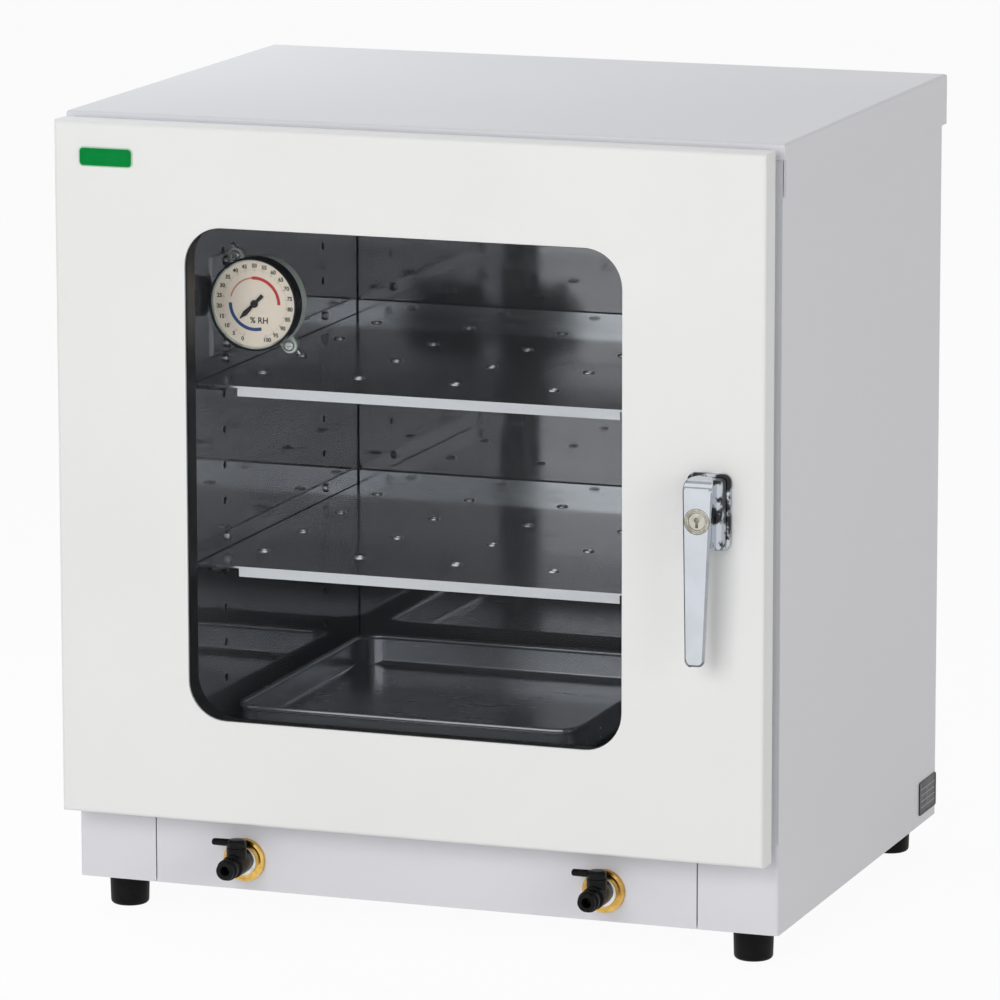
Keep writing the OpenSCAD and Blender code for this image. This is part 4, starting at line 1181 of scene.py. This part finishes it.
    def pointer(self):
        """A tapered hand with a balance tail and a domed hub."""
        low, high = corners("gauge_pointer")
        x, z = self.centre.x, self.centre.z
        front, shoulder = low.y + 0.3, z + self.SHOULDER
        hand = block("pointer_hand", (x - 1.7, front, z - self.TAIL),
                     (x + 1.7, front + 0.5, z + self.TIP))
        edit(hand)
        for height in (z, shoulder):
            slice_at((x, front, height), (0, 0, 1))
        pick_side(hand, "+Z")
        scale_about(self.centre, (0.12, 1, 1))
        pick_side(hand, "-Z")
        scale_about(self.centre, (0.75, 1, 1))
        for height, share in ((shoulder, 0.95), (z, 0.55)):
            pick_edges(hand, lambda middle, run: abs(middle.z - height) < TOUCH)
            scale_about(self.centre, (share, 1, 1))
        leave_edit()
        soften(hand, 0.12, 2)
        hand.data.transform(turned(self.POINTER_REST, self.centre, "Y"))
        hub = rod("pointer_hub", (x, z), 2.5, low.y + 0.02, low.y + 1.2, sides=40)
        rounded(hub, at_front(low.y), 0.5, 4)
        shaft = rod("pointer_shaft", (x, z), 1.0, low.y + 1, high.y, sides=24)
        finish_piece(join(hand, hub, shaft), "bezel_plastic", "pointer",
                     ["gauge_pointer"])

    def clamps(self):
        """Bolts through the case's ears, with wing nuts behind the bracket."""
        seat = corners("gauge_bracket")[0].y
        back = seat + BRACKET_SHEET
        head = screw_head("clamp_head", 3.6, 2.4, 28)
        head.data.transform(moved(y=seat - 2.5))
        stem = rod("clamp_stem", (0, 0), 1.45, seat - 2.6, back + 8, sides=20)
        hub = rod("clamp_hub", (0, 0), 3.5, back, back + 4.5, sides=32)
        edit(hub)
        pick_side(hub, "+Y")
        inset(0.8)
        extrude(y=1.4)
        leave_edit()
        soften(hub, 0.3, 2)
        wing = block("wing", (2.6, back + 1.5, -0.8), (6.4, back + 5.5, 0.8))
        edit(wing)
        pick_side(wing, "+X")
        extrude(x=2.6, y=1.0)
        scale_about((9, back + 5.5, 0), (1, 1.3, 0.8))
        pick_edges(wing, lambda middle, run: abs(run.z) > SQUARE and middle.x > 8.5)
        bevel(1.3, 4)
        leave_edit()
        soften(wing, 0.3, 2)
        wings = repeated(wing, "wings", [turned(self.WING_TURN + half, (0, 0, 0), "Y")
                                         for half in (0, 180)])
        places = [moved(x=self.centre.x + reach * math.cos(self.EAR_SLOPE),
                        z=self.centre.z + reach * math.sin(self.EAR_SLOPE))
                  for reach in (self.EAR_REACH, -self.EAR_REACH)]
        finish_piece(repeated(join(head, stem, hub, wings), "clamp_set", places), "zinc_plate",
                     "case", ["gauge_clamp"])

    def bracket_screws(self):
        low, high = corners("bracket_screws")
        seat = corners("gauge_bracket")[0].x + BRACKET_SHEET
        model = bolt(3.5, 2.2, 2.0, seat - low.x, (28, 20), (*M4_NUT, BRACKET_SHEET + LINER_SHEET))
        model.data.transform(Matrix.Rotation(math.pi / 2, 4, "Z"))
        places = [moved(seat, (low.y + high.y) / 2, z) for z in (low.z + 4, high.z - 4)]
        finish_piece(repeated(model, "bracket_screw_set", places), "zinc_plate", "case",
                     ["bracket_screws"])


class CABINET_OT_valves(bpy.types.Operator):
    """Model the two purge valves with their flanges, collars and nuts"""

    bl_idname = "cabinet.valves"
    bl_label = "Valves"

    # radii of the hole through flange and collar, the barrel, the socket and the thread
    BORE, BARREL, SOCKET, THREAD = 6.2, 7.5, 7.0, 6.0
    # the barrel's length, and the length of each of its two steps
    LENGTH, STEP = 17, 6
    CAP, CAP_HEIGHT, CAP_EDGE = 6.3, 4.9, 2.6
    ARM = 2.4

    def execute(self, context):
        places = {side: moved(x=pivot(f"valve_{side}_turn").x) for side in ("left", "right")}
        body, cock = self.body(), self.cock()
        for side, place in places.items():
            finish_piece(copy_of(body, f"{side}_valve_barrel", place), "valve_plastic", "case",
                         [f"valve_{side}_body"])
            finish_piece(copy_of(cock, f"{side}_valve_cap", place), "valve_plastic",
                         f"{side}_cock", [f"valve_{side}_cock"])
        bpy.data.objects.remove(body)
        bpy.data.objects.remove(cock)
        pair = places.values()
        finish_piece(repeated(self.flange(), "flange_set", pair), "flange_brass", "case",
                     ["valve_flanges"], angle=28)
        finish_piece(repeated(self.collar(), "collar_set", pair), "collar_nickel", "case",
                     ["valve_collars"])
        finish_piece(repeated(self.nut(), "valve_nut_set", pair), "zinc_plate", "case",
                     ["valve_nuts"])
        return {"FINISHED"}

    def washer(self, node, radius, edge, sides):
        """A disc with a rounded front edge, and the tool for the hole through it."""
        low, high = corners(node)
        z = (low.z + high.z) / 2
        disc = rod("disc", (0, z), radius, low.y, high.y, sides=sides)
        rounded(disc, at_front(low.y), edge)
        return disc, rod("hole", (0, z), self.BORE, low.y - 1, high.y + 1)

    def flange(self):
        disc, hole = self.washer("valve_flanges", 14, 0.8, 96)
        edit(disc)
        pick_side(disc, "-Y")
        for step, depth in ((1.6, 0.35), (0.7, -0.3)):
            inset(step)
            extrude(y=depth)
        leave_edit()
        return cut_out(disc, hole)

    def collar(self):
        return cut_out(*self.washer("valve_collars", 9.5, 0.7, 64))

    def nut(self):
        low, high = corners("valve_nuts")
        nut = hex_nut("valve_nut", 17, high.y - low.y, self.THREAD + OVERLAP)
        nut.data.transform(moved(y=low.y, z=(low.z + high.z) / 2))
        return nut

    def body(self):
        """The barrel with its hose socket in front, the plug's seat on top, the thread behind."""
        low, high = corners("valve_left_body")
        y, z = pivot("valve_left_turn").y, low.z + self.BARREL
        back = corners("valve_collars")[0].y
        barrel = rod("valve_barrel", (0, z), self.BARREL, back - self.LENGTH, back)
        edit(barrel)
        pick_side(barrel, "-Y")
        inset(1.5)
        extrude(y=-self.STEP)
        extrude(y=-self.STEP)
        inset(2.9)
        extrude(y=10)
        leave_edit()
        soften(barrel, 0.5, 3)
        ring = rod("socket_ring", (0, z), self.SOCKET, low.y + 3.5, low.y + 6)
        soften(ring, 0.6, 3)
        cut_out(ring, rod("ring_hole", (0, z), 5.9, low.y, low.y + 10))
        seat = rod("plug_seat", (0, y), 6.5, z + 1, high.z, axis="Z", sides=48)
        soften(seat, 0.4, 2)
        thread = rod("valve_thread", (0, z), self.THREAD, back - 1, high.y, sides=48)
        return cut_out(join(barrel, ring, seat, thread),
                       rod("plug_bore", (0, y), 4.1, z - 3, high.z + 1, axis="Z", sides=48))

    def cock(self):
        """The turning plug with its short round lever."""
        low, high = corners("valve_left_cock")
        centre = pivot("valve_left_turn")
        y, tip, deck = centre.y, low.x - centre.x, high.z - 6
        top, middle_z = deck + self.CAP_HEIGHT, deck + self.ARM
        cap = rod("valve_cap", (0, y), self.CAP, deck, top, axis="Z", sides=48)
        rounded(cap, lambda middle, run: middle.z > top - TOUCH, self.CAP_EDGE, 6)
        arm = rod("cock_arm", (y, middle_z), self.ARM, tip + 0.1, 0, axis="X", sides=32)
        edit(arm)
        slice_at((-9, y, deck), (1, 0, 0))
        pick_side(arm, "-X")
        scale_about((tip, y, middle_z), (1, 1.18, 0.92))
        pick_edges(arm, lambda middle, run: middle.x < tip + 0.2)
        bevel(1.2, 3)
        leave_edit()
        plug = rod("cock_plug", (0, y), 3.95, low.z, deck + 1, axis="Z", sides=48)
        return join(cap, arm, plug)


class CABINET_OT_feet(bpy.types.Operator):
    """Model the rubber feet and the screws that hold them"""

    bl_idname = "cabinet.feet"
    bl_label = "Feet"

    # the rubber left above the recess for the screw's head, and the share its bottom narrows to
    WEB, TAPER = 6, 0.955

    def execute(self, context):
        model = self.foot(context.scene.cabinet_fitting.foot_edge)
        places = []
        for side in ("front_left", "front_right", "back_left", "back_right"):
            low, high = corners(f"foot_{side}")
            middle = (low + high) / 2
            places.append(middle)
            foot = copy_of(model, f"rubber_foot_{side}", moved(middle.x, middle.y))
            finish_piece(foot, "foot_rubber", "case", [f"foot_{side}"])
        bpy.data.objects.remove(model)
        self.screws(places)
        return {"FINISHED"}

    def foot(self, edge):
        low, high = corners("foot_front_left")
        foot = rod("foot", (0, 0), (high.x - low.x) / 2, low.z, high.z, axis="Z", sides=72)
        edit(foot)
        pick_side(foot, "-Z")
        scale_about((0, 0, low.z), (self.TAPER, self.TAPER, 1))
        pick_edges(foot, lambda centre, run: centre.z < low.z + TOUCH)
        bevel(edge, 5)
        pick_faces(foot, lambda centre, normal: normal.z < -0.995 and centre.z < low.z + 0.02)
        inset(3.4)
        extrude(z=high.z - low.z - self.WEB)
        leave_edit()
        soften(foot, 0.35, 2, 50)
        return cut_out(foot, rod("foot_hole", (0, 0), 2.7, low.z, high.z + 1, axis="Z", sides=32))

    def screws(self, feet):
        low, high = corners("foot_screws")
        head = 3.0
        model = bolt(4.5, head, 2.5, high.z - low.z - head, (32, 24), (8.6, 4.0, 9))
        model.data.transform(Matrix.Rotation(math.pi / 2, 4, "X"))
        places = [moved(foot.x, foot.y, low.z + head) for foot in feet]
        finish_piece(repeated(model, "foot_screw_set", places), "zinc_plate", "case",
                     ["foot_screws"])


class CABINET_OT_plates(bpy.types.Operator):
    """Model the bare coloured plate on the door and the bare data plate on the side"""

    bl_idname = "cabinet.plates"
    bl_label = "Plates"

    RIM = 0.7
    # the ruled lines, as shares of the way down the data plate
    RULES = (0.24, 0.42, 0.60, 0.78)
    RULE_WIDTH = 0.44

    def execute(self, context):
        self.door_plate()
        self.data_plate()
        return {"FINISHED"}

    def door_plate(self):
        """A pale edge round a coloured field that stands just proud of it."""
        low, high = corners("badge")
        plate = rounded(block("door_plate", low, high), along("Y"), 3, 6)
        soften(plate, 0.15, 2)
        finish_piece(plate, "plate_edge", "door", ["badge"])
        field = block("door_plate_field", (low.x + self.RIM, low.y - 0.04, low.z + self.RIM),
                      (high.x - self.RIM, low.y + 0.26, high.z - self.RIM))
        rounded(field, along("Y"), 2.4, 6)
        finish_piece(field, "plate_green", "door")

    def data_plate(self):
        """A black plate with a sunk face and empty ruled fields."""
        low, high = corners("nameplate")
        plate = block("side_plate", low, high)
        edit(plate)
        pick_edges(plate, along("X"))
        bevel(1.6, 4)
        pick_side(plate, "+X")
        inset(1.0)
        extrude(x=-0.2)
        leave_edit()
        finish_piece(plate, "plate_black", "case", ["nameplate"])
        back, front = high.x - 0.22, high.x - 0.13
        heights = [high.z + (low.z - high.z) * share for share in self.RULES]
        rules = [block("side_plate_rules", (back, low.y + 3.5, z - self.RULE_WIDTH / 2),
                       (front, high.y - 3.5, z + self.RULE_WIDTH / 2)) for z in heights]
        rules.append(block("rule", (back, low.y + 17, low.z + 5),
                           (front, low.y + 17.4, high.z - 5.2)))
        finish_piece(join(*rules), "rule_white", "case")


class CABINET_OT_stage(bpy.types.Operator):
    """Set up the floor, the soft studio light and the camera"""

    bl_idname = "cabinet.stage"
    bl_label = "Stage"

    FLOOR_SIZE = 40
    # how much of the floor's look is even brightness rather than received light
    FLOOR_GLOW = 0.94
    MIDDLE = (0, 0, 0.27)
    # how far the camera stands aside from and above the line to its turning point, in metres
    ASIDE, ABOVE = 0.048960, 0.258075
    ROLL = math.radians(-0.08948)

    def execute(self, context):
        settings = context.scene.cabinet_stage
        self.floor()
        self.world(settings.ambient)
        self.lamp("front_light", (-0.5, -3.9, 1.5), self.MIDDLE, 2.2, settings.key_power)
        self.lamp("side_light", (2.9, -1.7, 1.0), self.MIDDLE, 1.6, settings.side_power)
        self.lamp("top_light", (-0.66, 0.2, 0.98), (-0.15, 0.02, 0.52), 0.4, settings.top_power,
                  (0.86, 0.94, 1.0))
        self.camera(settings)
        context.scene.view_settings.view_transform = "Standard"
        return {"FINISHED"}

    def seen_directly(self, tree):
        """1 where the camera, a reflection or a clear pane looks at the background, else 0."""
        rays = put(tree, "ShaderNodeLightPath").outputs
        both = plus(tree, rays["Is Camera Ray"], rays["Is Glossy Ray"])
        every = plus(tree, both, rays["Is Transmission Ray"])
        return put(tree, "ShaderNodeClamp", Value=every).outputs[0]

    def floor(self):
        clear_selection()
        bpy.ops.mesh.primitive_plane_add(size=self.FLOOR_SIZE, location=(0, 0, 0))
        floor = settle("floor")
        material = bpy.data.materials.new("pale_floor")
        material.use_nodes = True
        tree = material.node_tree
        shader = tree.nodes["Principled BSDF"]
        for label, value in (("Base Color", (0.96, 0.96, 0.96, 1)), ("Roughness", 0.9),
                             ("Specular IOR Level", 0.0)):
            shader.inputs[label].default_value = value
        glow = put(tree, "ShaderNodeEmission", Color=(1, 1, 1, 1), Strength=1.0)
        mixed = put(tree, "ShaderNodeMixShader")
        share = times(tree, self.seen_directly(tree), self.FLOOR_GLOW)
        for value, socket in zip((share, shader.outputs[0], glow.outputs[0]), mixed.inputs):
            tree.links.new(value, socket)
        tree.links.new(mixed.outputs[0], tree.nodes["Material Output"].inputs["Surface"])
        arrange(tree)
        floor.data.materials.append(material)

    def world(self, ambient):
        """Even light from all round, which looks white where it is seen directly."""
        world = bpy.data.worlds.new("studio")
        world.use_nodes = True
        tree = world.node_tree
        background = tree.nodes["Background"]
        background.inputs["Color"].default_value = (1, 1, 1, 1)
        strength = between(tree, self.seen_directly(tree), ambient, 1.0)
        tree.links.new(strength, background.inputs["Strength"])
        arrange(tree)
        bpy.context.scene.world = world

    def lamp(self, name, place, target, size, power, colour=(1, 1, 1)):
        """A soft square lamp. Mirrors show the pale studio and not the lamp itself."""
        light = bpy.data.lights.new(name, "AREA")
        light.color = colour
        light.shape = "SQUARE"
        light.size = size
        light.energy = power
        lamp = bpy.data.objects.new(name, light)
        lamp.location = place
        lamp.visible_glossy = False
        aim = Vector(target) - Vector(place)
        lamp.rotation_euler = aim.to_track_quat("-Z", "Y").to_euler()
        bpy.context.scene.collection.objects.link(lamp)

    def camera(self, settings):
        """Looks at the cabinet from the right and a little above."""
        turn, rise = settings.camera_turn, settings.camera_rise
        ahead = Vector((-math.sin(turn) * math.cos(rise), math.cos(turn) * math.cos(rise),
                        -math.sin(rise)))
        right = Vector((math.cos(turn), math.sin(turn), 0))
        up = right.cross(ahead)
        right, up = (right * math.cos(self.ROLL) + up * math.sin(self.ROLL),
                     up * math.cos(self.ROLL) - right * math.sin(self.ROLL))
        low, high = CAD_BOX
        # the camera turns about the foot of the case's front face
        foot = Vector(((low.x + high.x) / 2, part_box("front_frame")[0].y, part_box("side_left")[0].z))
        data = bpy.data.cameras.new("camera")
        data.sensor_width = 36
        data.lens = settings.lens
        data.clip_end = 100
        camera = bpy.data.objects.new("camera", data)
        camera.location = (foot - ahead * settings.camera_distance
                           + right * self.ASIDE + up * self.ABOVE)
        camera.rotation_euler = Matrix((right, up, -ahead)).transposed().to_euler()
        bpy.context.scene.collection.objects.link(camera)
        bpy.context.scene.camera = camera


class CABINET_PT_panel(bpy.types.Panel):
    """Lists the cabinet's groups of parts with their settings"""

    bl_label = "Desiccator Cabinet"
    bl_idname = "CABINET_PT_panel"
    bl_space_type = "VIEW_3D"
    bl_region_type = "UI"
    bl_category = "Cabinet"

    def draw(self, context):
        layout = self.layout
        for operator in OPERATORS:
            layout.operator(operator.bl_idname)
        for label, settings in (
            ("Sheet finishes", context.scene.cabinet_sheet),
            ("Fittings", context.scene.cabinet_fitting),
            ("Dial", context.scene.cabinet_dial),
            ("Stage", context.scene.cabinet_stage),
        ):
            box = layout.box()
            box.label(text=label)
            for name in settings.__annotations__:
                box.prop(settings, name)


SETTINGS = {
    "cabinet_sheet": SheetFinish,
    "cabinet_fitting": FittingFinish,
    "cabinet_dial": DialLayout,
    "cabinet_stage": StageSettings,
}
OPERATORS = (
    CABINET_OT_finishes,
    CABINET_OT_case,
    CABINET_OT_chamber,
    CABINET_OT_door,
    CABINET_OT_handle,
    CABINET_OT_hygrometer,
    CABINET_OT_valves,
    CABINET_OT_feet,
    CABINET_OT_plates,
    CABINET_OT_stage,
)


def register():
    for cls in (*SETTINGS.values(), *OPERATORS, CABINET_PT_panel):
        bpy.utils.register_class(cls)
    for name, cls in SETTINGS.items():
        setattr(bpy.types.Scene, name, PointerProperty(type=cls))


def unregister():
    for name in SETTINGS:
        delattr(bpy.types.Scene, name)
    for cls in reversed((*SETTINGS.values(), *OPERATORS, CABINET_PT_panel)):
        bpy.utils.unregister_class(cls)


def main():
    register()
    bpy.ops.cabinet.finishes()
    bpy.ops.cabinet.case()
    bpy.ops.cabinet.chamber()
    bpy.ops.cabinet.door()
    bpy.ops.cabinet.handle()
    bpy.ops.cabinet.hygrometer()
    bpy.ops.cabinet.valves()
    bpy.ops.cabinet.feet()
    bpy.ops.cabinet.plates()
    bpy.ops.cabinet.stage()


if __name__ == "__main__":
    main()
